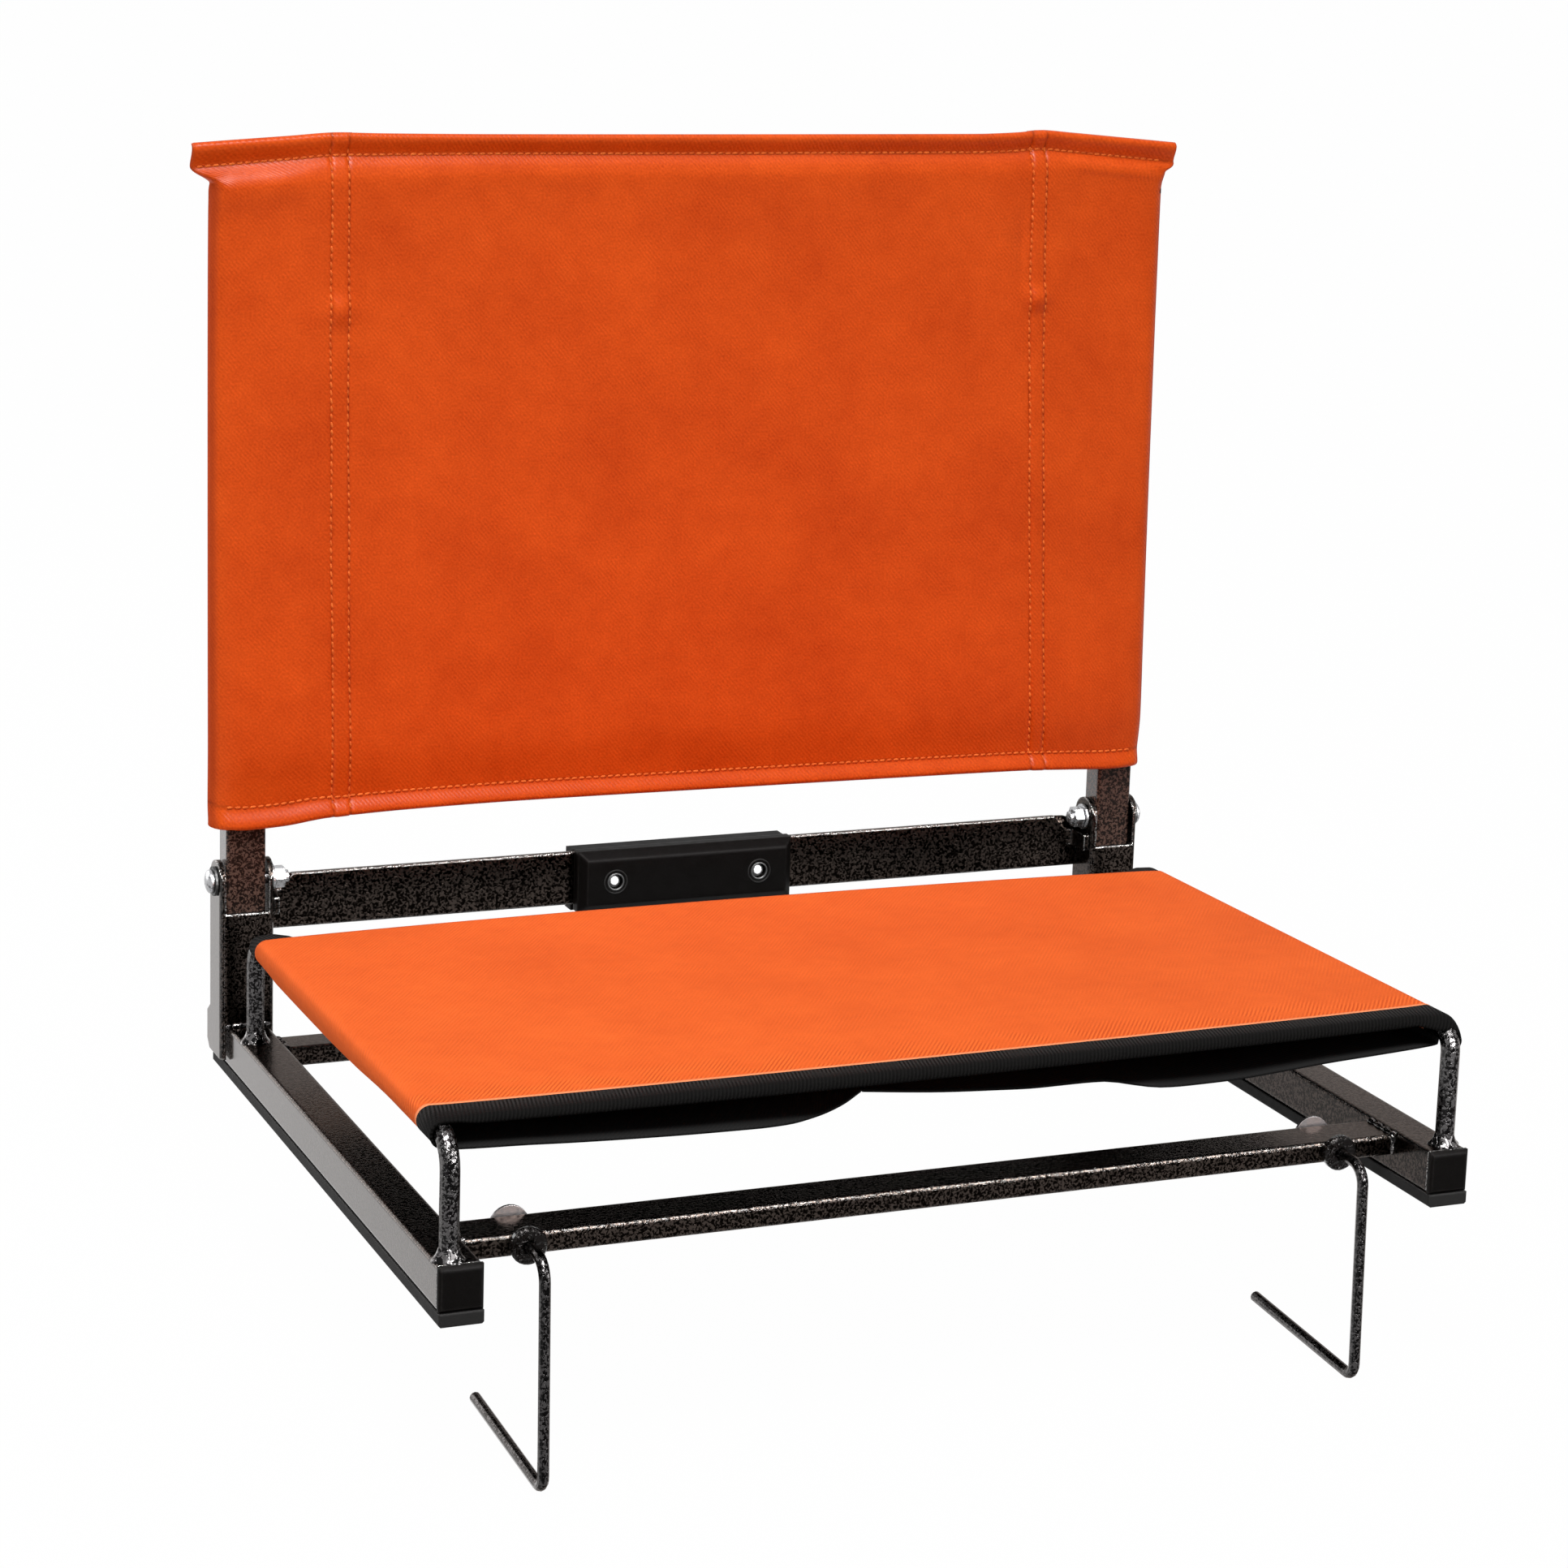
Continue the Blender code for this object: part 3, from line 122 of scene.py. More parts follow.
class NodeSheet:
    """The nodes of one material or of the world."""

    BEVEL_SAMPLES = 4
    FACING_SIDEWAYS: Span = (0.35, 0.85)
    MIX_SHARE, MIX_FIRST, MIX_SECOND, MIXED_COLOUR = 0, 6, 7, 2

    def __init__(self, owner: Union[Material, bpy.types.World]) -> None:
        """Starts from an empty node tree.

        Args:
            owner: The material or world whose nodes these are.
        """
        owner.use_nodes = True
        self.tree = owner.node_tree
        self.tree.nodes.clear()

    def add(
        self,
        kind: str,
        settings: Optional[Mapping[str, Any]] = None,
        inputs: Optional[Mapping[Union[str, int], Any]] = None,
        output: Union[str, int] = 0,
    ) -> Signal:
        """Adds one node.

        Args:
            kind: The node's type.
            settings: The node's own settings, set before its sockets.
            inputs: A value or a signal for each socket that is set.
            output: The socket that is wanted from it.

        Returns:
            The wanted output.
        """
        node = self.tree.nodes.new(kind)
        for key, value in (settings or {}).items():
            setattr(node, key, value)
        for key, value in (inputs or {}).items():
            self.feed(node.inputs[key], value)
        return Signal(self, node.outputs[output])

    def feed(self, socket: bpy.types.NodeSocket, value: Any) -> None:
        """Links a signal to a socket, or writes a plain value on it.

        Args:
            socket: The socket to set.
            value: A signal, a number, a colour or a vector.
        """
        if isinstance(value, Signal):
            self.tree.links.new(value.socket, socket)
        elif socket.type == "RGBA":
            socket.default_value = (*value[:3], 1.0)
        elif socket.type == "VECTOR" and isinstance(value, (int, float)):
            socket.default_value = (value, value, value)
        else:
            socket.default_value = value

    def combine(self, operation: str, *terms: Term) -> Signal:
        """Works out an operation on values, or on vectors if a term is one.

        Args:
            operation: The operation's name.
            terms: Its terms, in order.

        Returns:
            The result.
        """
        vector = any(isinstance(term, Signal) and term.socket.type == "VECTOR" for term in terms)
        kind = "ShaderNodeVectorMath" if vector else "ShaderNodeMath"
        return self.add(kind, {"operation": operation}, dict(enumerate(terms)))

    def mix(self, first: Any, second: Any, share: Term) -> Signal:
        """Mixes two colours.

        Args:
            first: The colour at share 0.
            second: The colour at share 1.
            share: How much of the second.

        Returns:
            The mixed colour.
        """
        settings = {"data_type": "RGBA", "clamp_factor": True}
        inputs = {self.MIX_SHARE: share, self.MIX_FIRST: first, self.MIX_SECOND: second}
        return self.add("ShaderNodeMix", settings, inputs, self.MIXED_COLOUR)

    def place(self) -> Signal:
        """Gives the place on the piece, in metres."""
        return self.add("ShaderNodeTexCoord", output="Object")

    def noise(self, place: Signal, size: float, detail: float = 2.0, twist: float = 0.0) -> Signal:
        """Gives smooth noise between 0 and 1.

        Args:
            place: Where on the piece.
            size: About how wide one patch is, in metres.
            detail: How many finer layers it has.
            twist: How much it is distorted.

        Returns:
            The noise.
        """
        inputs = {"Vector": place, "Scale": 1.0 / size, "Detail": detail, "Distortion": twist}
        return self.add("ShaderNodeTexNoise", inputs=inputs)

    def edges(self, radius: float) -> tuple[Signal, Signal]:
        """Finds the piece's edges.

        Args:
            radius: How far from an edge it is felt, in metres.

        Returns:
            The normal rounded over the edges, and a value that rises at an edge.
        """
        rounded = self.add("ShaderNodeBevel", {"samples": self.BEVEL_SAMPLES}, {"Radius": radius})
        facing = self.add("ShaderNodeNewGeometry", output="Normal")
        settings = {"operation": "DOT_PRODUCT"}
        along = self.add("ShaderNodeVectorMath", settings, {0: rounded, 1: facing}, "Value")
        return rounded, 1.0 - along

    def sideways(self) -> Signal:
        """Rises from 0 to 1 where the piece faces left or right."""
        facing = self.add("ShaderNodeTexCoord", output="Normal").part("X")
        return (facing * facing).eased(*self.FACING_SIDEWAYS)

    def bump(self, height: Signal, depth: float, normal: Optional[Signal] = None) -> Signal:
        """Turns a height into a normal.

        Args:
            height: The height, from 0 to 1.
            depth: What 1 stands for, in metres.
            normal: The normal that it starts from.

        Returns:
            The bumped normal.
        """
        inputs: dict[Union[str, int], Any] = {"Height": height, "Distance": depth, "Strength": 1.0}
        if normal is not None:
            inputs["Normal"] = normal
        return self.add("ShaderNodeBump", inputs=inputs)

    def close(self, kind: str, shader: Signal) -> None:
        """Links a shader to a new output node."""
        node = self.tree.nodes.new(kind)
        self.tree.links.new(shader.socket, node.inputs["Surface"])


# Finishes


@dataclass(frozen=True)
class Finish:
    """A finish, which its own surface turns into a material."""

    name: str

    def surface(self, sheet: NodeSheet) -> dict[str, Any]:
        """Gives a value or a signal for each socket of the surface."""
        raise NotImplementedError

    def material(self) -> Material:
        """Makes the material.

        Returns:
            The new material.
        """
        made = bpy.data.materials.new(self.name)
        sheet = NodeSheet(made)
        shader = sheet.add("ShaderNodeBsdfPrincipled", inputs=self.surface(sheet))
        sheet.close("ShaderNodeOutputMaterial", shader)
        return made


@dataclass(frozen=True)
class VeinCoat(Finish):
    """Dark powder coat, with fine veins and a painted highlight: pale reflective specks along each edge."""

    ground: Colour = (0.0020, 0.0014, 0.0011)
    vein: Colour = (0.046, 0.036, 0.031)
    glint_colour: Colour = (0.62, 0.61, 0.60)
    grazing: Colour = (0.70, 0.66, 0.64)
    vein_size: float = 0.0013
    patch_size: float = 0.030
    edge: float = 0.0014
    glint_share: float = 0.0
    roughness: float = 0.17
    relief: float = 0.00002
    metallic: float = 1.0
    specular: float = 0.5
    side_sheen: float = 1.0

    def surface(self, sheet: NodeSheet) -> dict[str, Any]:
        """Gives the coat, with a painted reflection: a clear coat only on the sides that face left or right,
        which lightens them.

        Args:
            sheet: The material's nodes.

        Returns:
            A value or a signal for each socket.
        """
        place = sheet.place()
        veins = sheet.noise(place, self.vein_size, 2.5, 0.7).eased(0.47, 0.57)
        fine = sheet.noise(place, self.vein_size * 0.55, 1.5)
        broad = sheet.noise(place, self.patch_size)
        rounded, edge = sheet.edges(self.edge)
        # painted highlight: pale reflective specks along the edges stand in for the glints of rounded edges
        glint = edge.eased(0.015, 0.16) * fine.eased(0.44, 0.58) * self.glint_share
        coat = sheet.mix(self.ground, self.vein, veins * (0.65 + 0.7 * broad))
        return {
            "Base Color": sheet.mix(coat, self.glint_colour, glint),
            "Metallic": self.metallic,
            "Specular IOR Level": self.specular,
            "Roughness": self.roughness + 0.08 * veins - 0.04 * broad,
            "Specular Tint": self.grazing,
            # painted reflection: a clear coat only on faces that point left or right lightens them
            "Coat Weight": self.side_sheen * sheet.sideways(),
            "Coat Roughness": 0.10,
            "Coat IOR": 1.4,
            "Normal": sheet.bump(veins + 0.5 * fine, self.relief, rounded),
        }


class Twill(Enum):
    """How far the twill line moves across the cloth for each metre along it."""

    RISING = 0.70
    FALLING = -0.85
    STEEP = -0.22


@dataclass(frozen=True)
class Canvas(Finish):
    """Woven cloth with a twill line, faint yarn flecks and soft uneven patches."""

    dark: Colour
    light: Colour
    twill: Twill
    spacing: float = 0.0021
    yarn_size: float = 0.0011
    patch_size: float = 0.010
    broad_size: float = 0.050
    worn_size: float = 0.014
    line: float = 0.22
    edge_line: float = 0.22
    fleck: float = 0.55
    patch: float = 0.75
    roughness: float = 0.82
    side_roughness: float = 0.95
    specular: float = 0.25
    relief: float = 0.00010
    selvedge_and_highlight: Optional[Colour] = None
    selvedge_and_highlight_width: float = 0.0034
    turn_shade: float = 0.0
    crease_shading: float = 0.0
    side_shade: float = 0.0

    def darker(self, share: float) -> Colour:
        """Gives a share of the dark colour."""
        return tuple(share * part for part in self.dark)

    def surface(self, sheet: NodeSheet) -> dict[str, Any]:
        """Gives the weave, with painted shade in stitched creases and on the sides that turn away, which are
        also rougher.

        Args:
            sheet: The material's nodes.

        Returns:
            A value or a signal for each socket.
        """
        flat = sheet.add("ShaderNodeUVMap", {"uv_map": CLOTH_UV})
        across, along = flat.part("X"), flat.part("Y")
        wander = sheet.noise(flat, 0.006)
        lines = ((across - self.twill.value * along) * (FULL_TURN / self.spacing) + wander * 1.6).sine()
        yarn = sheet.noise(flat, self.yarn_size, 1.0) - 0.5
        patches = sheet.noise(flat, self.patch_size, 3.0) - 0.5
        broad = sheet.noise(flat, self.broad_size, 3.0) - 0.5
        depth = self.edge_line - (self.edge_line - self.line) * along.eased(0.002, 0.030)
        worn = 0.15 + 1.5 * sheet.noise(flat, self.worn_size).eased(0.36, 0.64)
        shade = 0.5 + lines * depth * worn + yarn * self.fleck
        shade = shade + patches * (self.patch * 0.55) + broad * self.patch
        colour = sheet.mix(self.dark, self.light, shade)
        dull: Term = self.roughness
        # painted shade: the tape darkens where it turns down under the edge
        if self.turn_shade:
            colour = sheet.mix(colour, self.dark, self.turn_shade * along.eased(0.004, 0.013))
        # painted shade: the sides that face left or right are darkened
        if self.side_shade:
            side_shade_mask = sheet.sideways()
            colour = sheet.mix(colour, self.darker(0.62), self.side_shade * side_shade_mask)
            dull = self.roughness + (self.side_roughness - self.roughness) * side_shade_mask
        # painted shade: the cloth is darkened along its stitched creases
        if self.crease_shading:
            crease = sheet.add("ShaderNodeAttribute", {"attribute_name": CREASE_SHADE}, output="Fac")
            colour = sheet.mix(colour, self.darker(0.3), self.crease_shading * crease)
        # pale front edge: partly the paler edge threads, partly a painted highlight on the raised fold
        if self.selvedge_and_highlight is not None:
            rim = 1.0 - along.eased(0.0, self.selvedge_and_highlight_width)
            colour = sheet.mix(colour, self.selvedge_and_highlight, rim * (0.75 + 0.5 * yarn))
        return {
            "Base Color": colour,
            "Roughness": dull,
            "Specular IOR Level": self.specular,
            "Normal": sheet.bump(lines * 0.5 + yarn, self.relief),
        }


@dataclass(frozen=True)
class Thread(Finish):
    """Twisted sewing thread."""

    dark: Colour
    light: Colour
    twist: float = 0.0009
    fuzz_size: float = 0.004
    roughness: float = 0.75
    specular: float = 0.08
    relief: float = 0.00005

    def surface(self, sheet: NodeSheet) -> dict[str, Any]:
        """Gives the thread's ply.

        Args:
            sheet: The material's nodes.

        Returns:
            A value or a signal for each socket.
        """
        place = sheet.place()
        ply = 0.5 + 0.5 * ((place.part("X") + place.part("Z")) * (FULL_TURN / self.twist)).sine()
        fuzz = sheet.noise(place, self.fuzz_size).eased(0.35, 0.65)
        return {
            "Base Color": sheet.mix(self.dark, self.light, 0.35 * ply + 0.65 * fuzz),
            "Roughness": self.roughness,
            "Specular IOR Level": self.specular,
            "Normal": sheet.bump(ply, self.relief),
        }


@dataclass(frozen=True)
class Moulding(Finish):
    """Moulded plastic or rubber with a fine grain and paler edges."""

    colour: Colour
    pale_tone: Colour
    grain_size: float = 0.0007
    worn_size: float = 0.005
    edge: float = 0.0014
    roughness: float = 0.42
    specular: float = 0.35
    relief: float = 0.00003

    def surface(self, sheet: NodeSheet) -> dict[str, Any]:
        """Gives the grain and the paler edges.

        Args:
            sheet: The material's nodes.

        Returns:
            A value or a signal for each socket.
        """
        place = sheet.place()
        grain = sheet.noise(place, self.grain_size)
        worn = sheet.noise(place, self.worn_size, 3.0)
        rounded, edge = sheet.edges(self.edge)
        # the edges are mixed towards the pale tone
        paler_edge = edge.eased(0.02, 0.20) * (0.35 + 0.9 * worn)
        return {
            "Base Color": sheet.mix(self.colour, self.pale_tone, 0.15 * grain + 0.85 * paler_edge),
            "Roughness": self.roughness + 0.18 * (worn - 0.5),
            "Specular IOR Level": self.specular,
            "Normal": sheet.bump(grain, self.relief, rounded),
        }


@dataclass(frozen=True)
class PlatedSteel(Finish):
    """Plated steel with fine scratches and darker stains."""

    bright: Colour
    stain: Colour
    stain_size: float = 0.0022
    scratch_size: float = 0.0005
    stained: float = 0.6
    roughness: float = 0.26
    edge: float = 0.0005
    relief: float = 0.00002

    def surface(self, sheet: NodeSheet) -> dict[str, Any]:
        """Gives the plating, stained in patches and darker along its edges.

        Args:
            sheet: The material's nodes.

        Returns:
            A value or a signal for each socket.
        """
        place = sheet.place()
        stains = sheet.noise(place, self.stain_size, 3.0, 0.5).eased(0.50, 0.68)
        scratch = sheet.noise(place, self.scratch_size, 1.0)
        rounded, edge = sheet.edges(self.edge)
        dull = sheet.mix(self.bright, self.stain, stains * self.stained)
        return {
            "Base Color": sheet.mix(dull, self.stain, 0.6 * edge.eased(0.04, 0.30)),
            "Metallic": 1.0 - 0.3 * stains,
            "Roughness": self.roughness + 0.15 * scratch + 0.15 * stains,
            "Normal": sheet.bump(scratch, self.relief, rounded),
        }


class Coat(Enum):
    """Every finish of the seat."""

    TUBE = VeinCoat("tube_coat", glint_share=0.8)
    # painted shade: a shaded copy of the tube coat, with less side sheen, for the right rail and bracket
    SHADED_TUBE = VeinCoat("shaded_tube_coat", glint_share=0.8, side_sheen=0.3)
    UPRIGHT = VeinCoat(
        "upright_coat", (0.010, 0.0062, 0.0050), (0.110, 0.061, 0.046), vein_size=0.0012, edge=0.0005,
        metallic=0.0, specular=0.12,
    )
    ROD = VeinCoat("rod_coat", (0.0060, 0.0056, 0.0056), (0.095, 0.091, 0.091), relief=0.00004, edge=0.0004)
    HOOK = VeinCoat("hook_coat", (0.0045, 0.0042, 0.0042), (0.060, 0.057, 0.057), relief=0.00004, edge=0.0004)
    WELD = VeinCoat(
        "weld_coat", (0.012, 0.0115, 0.0115), (0.12, 0.115, 0.115), vein_size=0.0022, edge=0.0003,
        roughness=0.13, relief=0.00012,
    )
    PLASTIC = Moulding(
        "moulded_black", (0.0009, 0.0005, 0.0003), (0.030, 0.027, 0.026), edge=0.0022, specular=0.025,
    )
    COLLAR = VeinCoat(
        "collar_coat", (0.0030, 0.0020, 0.0018), (0.0050, 0.0038, 0.0036), vein_size=0.0036,
        roughness=0.07, relief=0.00060, metallic=0.0, specular=0.14,
    )
    RUBBER = Moulding(
        "runner_rubber", (0.0055, 0.0050, 0.0048), (0.035, 0.033, 0.032), roughness=0.6, specular=0.08,
    )
    ZINC = PlatedSteel(
        "bright_zinc", (0.40, 0.40, 0.41), (0.035, 0.034, 0.033), stain_size=0.0018, stained=0.85,
        roughness=0.16, edge=0.0009,
    )
    DOME = PlatedSteel(
        "retainer_zinc", (0.165, 0.154, 0.155), (0.095, 0.089, 0.089), stained=0.4, roughness=0.30,
    )
    SCREW = PlatedSteel("screw_zinc", (0.86, 0.86, 0.86), (0.45, 0.45, 0.45), stained=0.3, roughness=0.30)
    DARK_STEEL = PlatedSteel("blackened_steel", (0.05, 0.05, 0.05), (0.012, 0.012, 0.012), roughness=0.38)
    BACK = Canvas(
        "back_canvas", (0.485, 0.044, 0.002), (0.775, 0.101, 0.009), Twill.FALLING, line=0.075,
        edge_line=0.075, fleck=1.0, patch=0.85, roughness=0.36, specular=0.08, relief=0.00006,
        crease_shading=0.6, side_shade=0.55,
    )
    # partly painted sheen: the seat's colours are paler and bluer than the back's, for the sheen on the
    # upward-facing cloth
    SEAT = Canvas(
        "seat_canvas", (0.59, 0.080, 0.0085), (0.86, 0.150, 0.0215), Twill.RISING, line=0.09,
        edge_line=0.60, fleck=0.40, patch=0.60, specular=0.08, selvedge_and_highlight=(0.95, 0.36, 0.17), side_shade=0.40,
    )
    TAPE = Canvas(
        "black_tape", (0.0012, 0.0010, 0.0009), (0.0260, 0.0240, 0.0230), Twill.STEEP, spacing=0.0017,
        line=0.80, edge_line=0.80, fleck=0.5, patch=0.3, specular=0.04, relief=0.00030, turn_shade=0.85,
    )
    LINING = Canvas(
        "black_lining", (0.0016, 0.0015, 0.0015), (0.0060, 0.0056, 0.0055), Twill.RISING, specular=0.1,
    )
    THREAD = Thread("orange_thread", (0.62, 0.090, 0.010), (0.86, 0.190, 0.030))


Finishes = Mapping[Coat, Material]


# Mesh helpers


def ease(value: Any, low: Any, high: Any) -> Any:
    """Eases from 0 at low to 1 at high.

    Args:
        value: A number or an array.
        low: Where it starts to rise.
        high: Where it has risen.

    Returns:
        The eased share.
    """
    share = np.clip((np.asarray(value, float) - low) / (high - low), 0.0, 1.0)
    return share * share * (3.0 - 2.0 * share)


def follow(keys: Keys, value: Any) -> Any:
    """Follows a smooth line through key points, which never swings past them.

    Args:
        keys: Pairs of place and height, by rising place.
        value: The places that are asked for.

    Returns:
        The height at each place.
    """
    places, heights = (np.array(column) for column in zip(*keys))
    value = np.asarray(value, float)
    index = np.clip(np.searchsorted(places, value) - 1, 0, len(places) - 2)
    run = places[index + 1] - places[index]
    share = np.clip((value - places[index]) / run, 0.0, 1.0)
    rates = np.diff(heights) / np.diff(places)
    before, after = np.append(rates[:1], rates), np.append(rates, rates[-1:])
    level = before * after <= 0.0
    slopes = np.where(level, 0.0, 2.0 * before * after / np.where(level, 1.0, before + after))
    first, second = share * share * (3.0 - 2.0 * share), share * (1.0 - share)
    bend = run * second * ((1.0 - share) * slopes[index] - share * slopes[index + 1])
    return heights[index] * (1.0 - first) + heights[index + 1] * first + bend


def bump_at(value: Any, middle: float, width: float) -> Any:
    """Gives a soft hump of height 1 about a middle."""
    return np.exp(-(((value - middle) / width) ** 2))


def around(count: int) -> np.ndarray:
    """Gives angles evenly spaced round a circle."""
    return np.linspace(0.0, FULL_TURN, count, endpoint=False)


def arc(middle: Span, radius: float, start: float, end: float, steps: int) -> np.ndarray:
    """Gives points round part of a circle.

    Args:
        middle: The circle's middle.
        radius: Its radius.
        start: The first angle, in degrees.
        end: The last angle, in degrees.
        steps: How many steps between them.

    Returns:
        The points.
    """
    angles = np.radians(np.linspace(start, end, steps + 1))
    return np.stack([middle[0] + radius * np.cos(angles), middle[1] + radius * np.sin(angles)], -1)


def grid_faces(rows: int, columns: int, tube: bool = False, ring: bool = False, caps: bool = False) -> Faces:
    """Gives the faces of a grid of points.

    Args:
        rows: How many rows it has.
        columns: How many points each row has.
        tube: Whether the end of each row joins its start.
        ring: Whether the last row joins the first.
        caps: Whether the first and last rows are closed off.

    Returns:
        The corners of each face.
    """
    index = np.arange(rows * columns).reshape(rows, columns)
    if tube:
        index = np.concatenate([index, index[:, :1]], 1)
    if ring:
        index = np.concatenate([index, index[:1]], 0)
    quads = np.stack([index[:-1, :-1], index[:-1, 1:], index[1:, 1:], index[1:, :-1]], -1)
    faces = [tuple(quad) for quad in quads.reshape(-1, 4).tolist()]
    if caps:
        faces += [tuple(range(columns - 1, -1, -1)), tuple(range((rows - 1) * columns, rows * columns))]
    return faces


def make_piece(name: str, points: Any, faces: Faces, material: Material) -> Piece:
    """Makes a smooth mesh and puts it in the scene.

    Args:
        name: The piece's name.
        points: Its points, in an array of any shape that ends in three.
        faces: The corners of each face.
        material: Its finish.

    Returns:
        The new piece.
    """
    mesh = bpy.data.meshes.new(name)
    mesh.from_pydata(np.asarray(points).reshape(-1, 3).tolist(), [], faces)
    mesh.polygons.foreach_set("use_smooth", [True] * len(mesh.polygons))
    mesh.materials.append(material)
    made = bpy.data.objects.new(name, mesh)
    bpy.context.scene.collection.objects.link(made)
    return made


def woven_sheet(
    name: str, points: np.ndarray, flat: np.ndarray, thickness: float, material: Material
) -> Piece:
    """Makes a sheet of cloth from a grid of points on its middle.

    Args:
        name: The piece's name.
        points: Rows of points, in metres.
        flat: Where each point lay on the flat cloth, in metres.
        thickness: The cloth's thickness.
        material: Its finish.

    Returns:
        The new piece.
    """
    faces = grid_faces(*points.shape[:2])
    made = make_piece(name, points, faces, material)
    layer = made.data.uv_layers.new(name=CLOTH_UV)
    layer.data.foreach_set("uv", flat.reshape(-1, 2)[np.ravel(faces)].ravel())
    solid = made.modifiers.new("cloth_thickness", "SOLIDIFY")
    solid.thickness, solid.offset = thickness, 0.0
    return made


def flat_lengths(points: np.ndarray) -> np.ndarray:
    """Measures a grid of points along its rows and columns.

    Args:
        points: Rows of points, in metres.

    Returns:
        For each point its distance along its row and down its column.
    """
    along = np.linalg.norm(np.diff(points, axis=1), axis=2).cumsum(axis=1)
    down = np.linalg.norm(np.diff(points, axis=0), axis=2).cumsum(axis=0)
    along = np.concatenate([np.zeros((points.shape[0], 1)), along], 1)
    down = np.concatenate([np.zeros((1, points.shape[1])), down], 0)
    return np.stack([along, down], -1)


# The folding back


@dataclass
class BackCloth:
    """The back: one cloth between the seams, folded into a sleeve over each upright, with flat hems."""

    left_edge: float = 0.2443
    right_edge: float = 0.2433
    right_taper: float = 0.0131
    left_flare: float = 0.0100
    right_flare: float = 0.0036
    right_swell: float = 0.0008
    right_gather: float = 0.0012
    outside: float = 0.244
    about_seam: float = 0.18
    bottom: float = 0.121
    top_row: float = 0.0091
    bottom_row: float = 0.0083
    left_rows: float = 0.0082
    right_rows: float = 0.0076
    front: float = 0.1530
    rear: float = 0.1690
    thickness: float = 0.0012
    layer: float = 0.0014
    overlap: float = 0.006
    seam_zone: float = 0.010
    hem_bulge: float = 0.0008
    sleeve_bulge: float = 0.0072
    groove: float = 0.0009
    strip: float = 0.0006
    tuck: float = 0.0026
    tuck_width: float = 0.0062
    dent: float = 0.0012
    slack: float = 0.00045
    flat_height: float = 0.320
    stitch_pitch: float = 0.0037
    stitch_length: float = 0.0028
    stitch_radius: float = 0.00056
    stitch_lift: float = 0.00010
    stitch_flat: float = 1.15
    seam_slant: float = 0.20
    hem_slant: float = 0.06
    first_stitch: float = 0.1275
    last_stitch: float = 0.0022
    bottom_sewn: float = 0.155
    top_sewn: float = 0.26

    TOP_LINE: Keys = (
        (-0.2545, 0.4398), (-0.235, 0.4412), (-0.210, 0.4429), (-0.186, 0.4445), (-0.165, 0.4441),
        (-0.108, 0.4437), (0.000, 0.4436), (0.132, 0.4437), (0.155, 0.4444), (0.169, 0.4455), (0.185, 0.4443),
        (0.210, 0.4422), (0.2465, 0.4391),
    )
    BOTTOM_LINE: Keys = (
        (-0.2450, 0.1236), (-0.2400, 0.1220), (-0.2285, 0.1212), (-0.212, 0.1219), (-0.190, 0.1245),
        (-0.150, 0.1260), (-0.102, 0.1265), (0.000, 0.1258), (0.100, 0.1249), (0.175, 0.1240),
        (0.200, 0.1229), (0.225, 0.1219), (0.238, 0.1222), (0.2455, 0.1236),
    )
    TOP_ROW: Keys = (
        (-0.2545, 0.0106), (-0.186, 0.0098), (-0.15, 0.0090), (-0.108, 0.0086), (0.13, 0.0086),
        (0.25, 0.0092),
    )
    BOTTOM_ROW: Keys = ((-0.245, 0.0100), (-0.205, 0.0098), (-0.18, 0.0085), (-0.1, 0.0083), (0.25, 0.0083))
    LEFT_SEAM: Keys = ((0.10, 0.1829), (0.1418, 0.1833), (0.4316, 0.1860), (0.46, 0.1863))
    RIGHT_SEAM: Keys = ((0.10, 0.1828), (0.135, 0.18125), (0.430, 0.1681), (0.46, 0.1668))
    HEM_FOLD: Keys = ((0.0, 0.0015), (0.0006, 0.0027), (0.0016, 0.0031))
    HEM_CORNER: Keys = ((0.0093, -0.0012), (0.0104, -0.0004))
    LIES_FLAT: Keys = ((0.10, 0.0), (0.4, 0.0))
    TOP_ROLL: Keys = (
        *HEM_FOLD, (0.0091, -0.0008), (0.0105, -0.0002), (0.0150, 0.0019), (0.020, 0.0029), (0.030, 0.0024),
        (0.060, 0.0007), *LIES_FLAT,
    )
    LEFT_ROLL: Keys = (
        *HEM_FOLD, *HEM_CORNER, (0.0135, 0.0016), (0.0165, 0.0036), (0.0190, 0.0043), (0.022, 0.0041),
        (0.030, 0.0025), (0.055, 0.0009), *LIES_FLAT,
    )
    RIGHT_ROLL: Keys = (
        *HEM_FOLD, *HEM_CORNER, (0.0125, 0.0011), (0.0148, 0.0025), (0.0165, 0.0027), (0.020, 0.0019),
        (0.030, 0.0012), (0.055, 0.0006), *LIES_FLAT,
    )
    BOTTOM_ROLL: Keys = (
        (0.0, 0.0028), (0.0010, 0.0039), (0.0083, 0.0001), (0.012, 0.0004), (0.030, 0.0022), (0.065, 0.0012),
        (0.13, 0.0002), (0.18, 0.0), (0.4, 0.0),
    )
    SLEEVE_OPENS: Span = (0.0100, 0.0235)
    BOTTOM_STITCHES: Span = (-0.2385, 0.2375)
    TOP_STITCHES: Span = (-0.2525, 0.2400)
    STITCH_RINGS: Keys = ((-1.0, 0.25), (-0.72, 0.85), (0.0, 1.0), (0.72, 0.85), (1.0, 0.25))
    TUCKS = {LEFT: (0.3638, 0.0062), RIGHT: (0.3631, 0.0048)}
    TOP_EASED = {LEFT: (0.35, 0.236, 0.244), RIGHT: (0.8, 0.224, 0.238)}
    BOTTOM_EASED = {LEFT: (0.5, 0.230, 0.243), RIGHT: (0.85, 0.226, 0.242)}

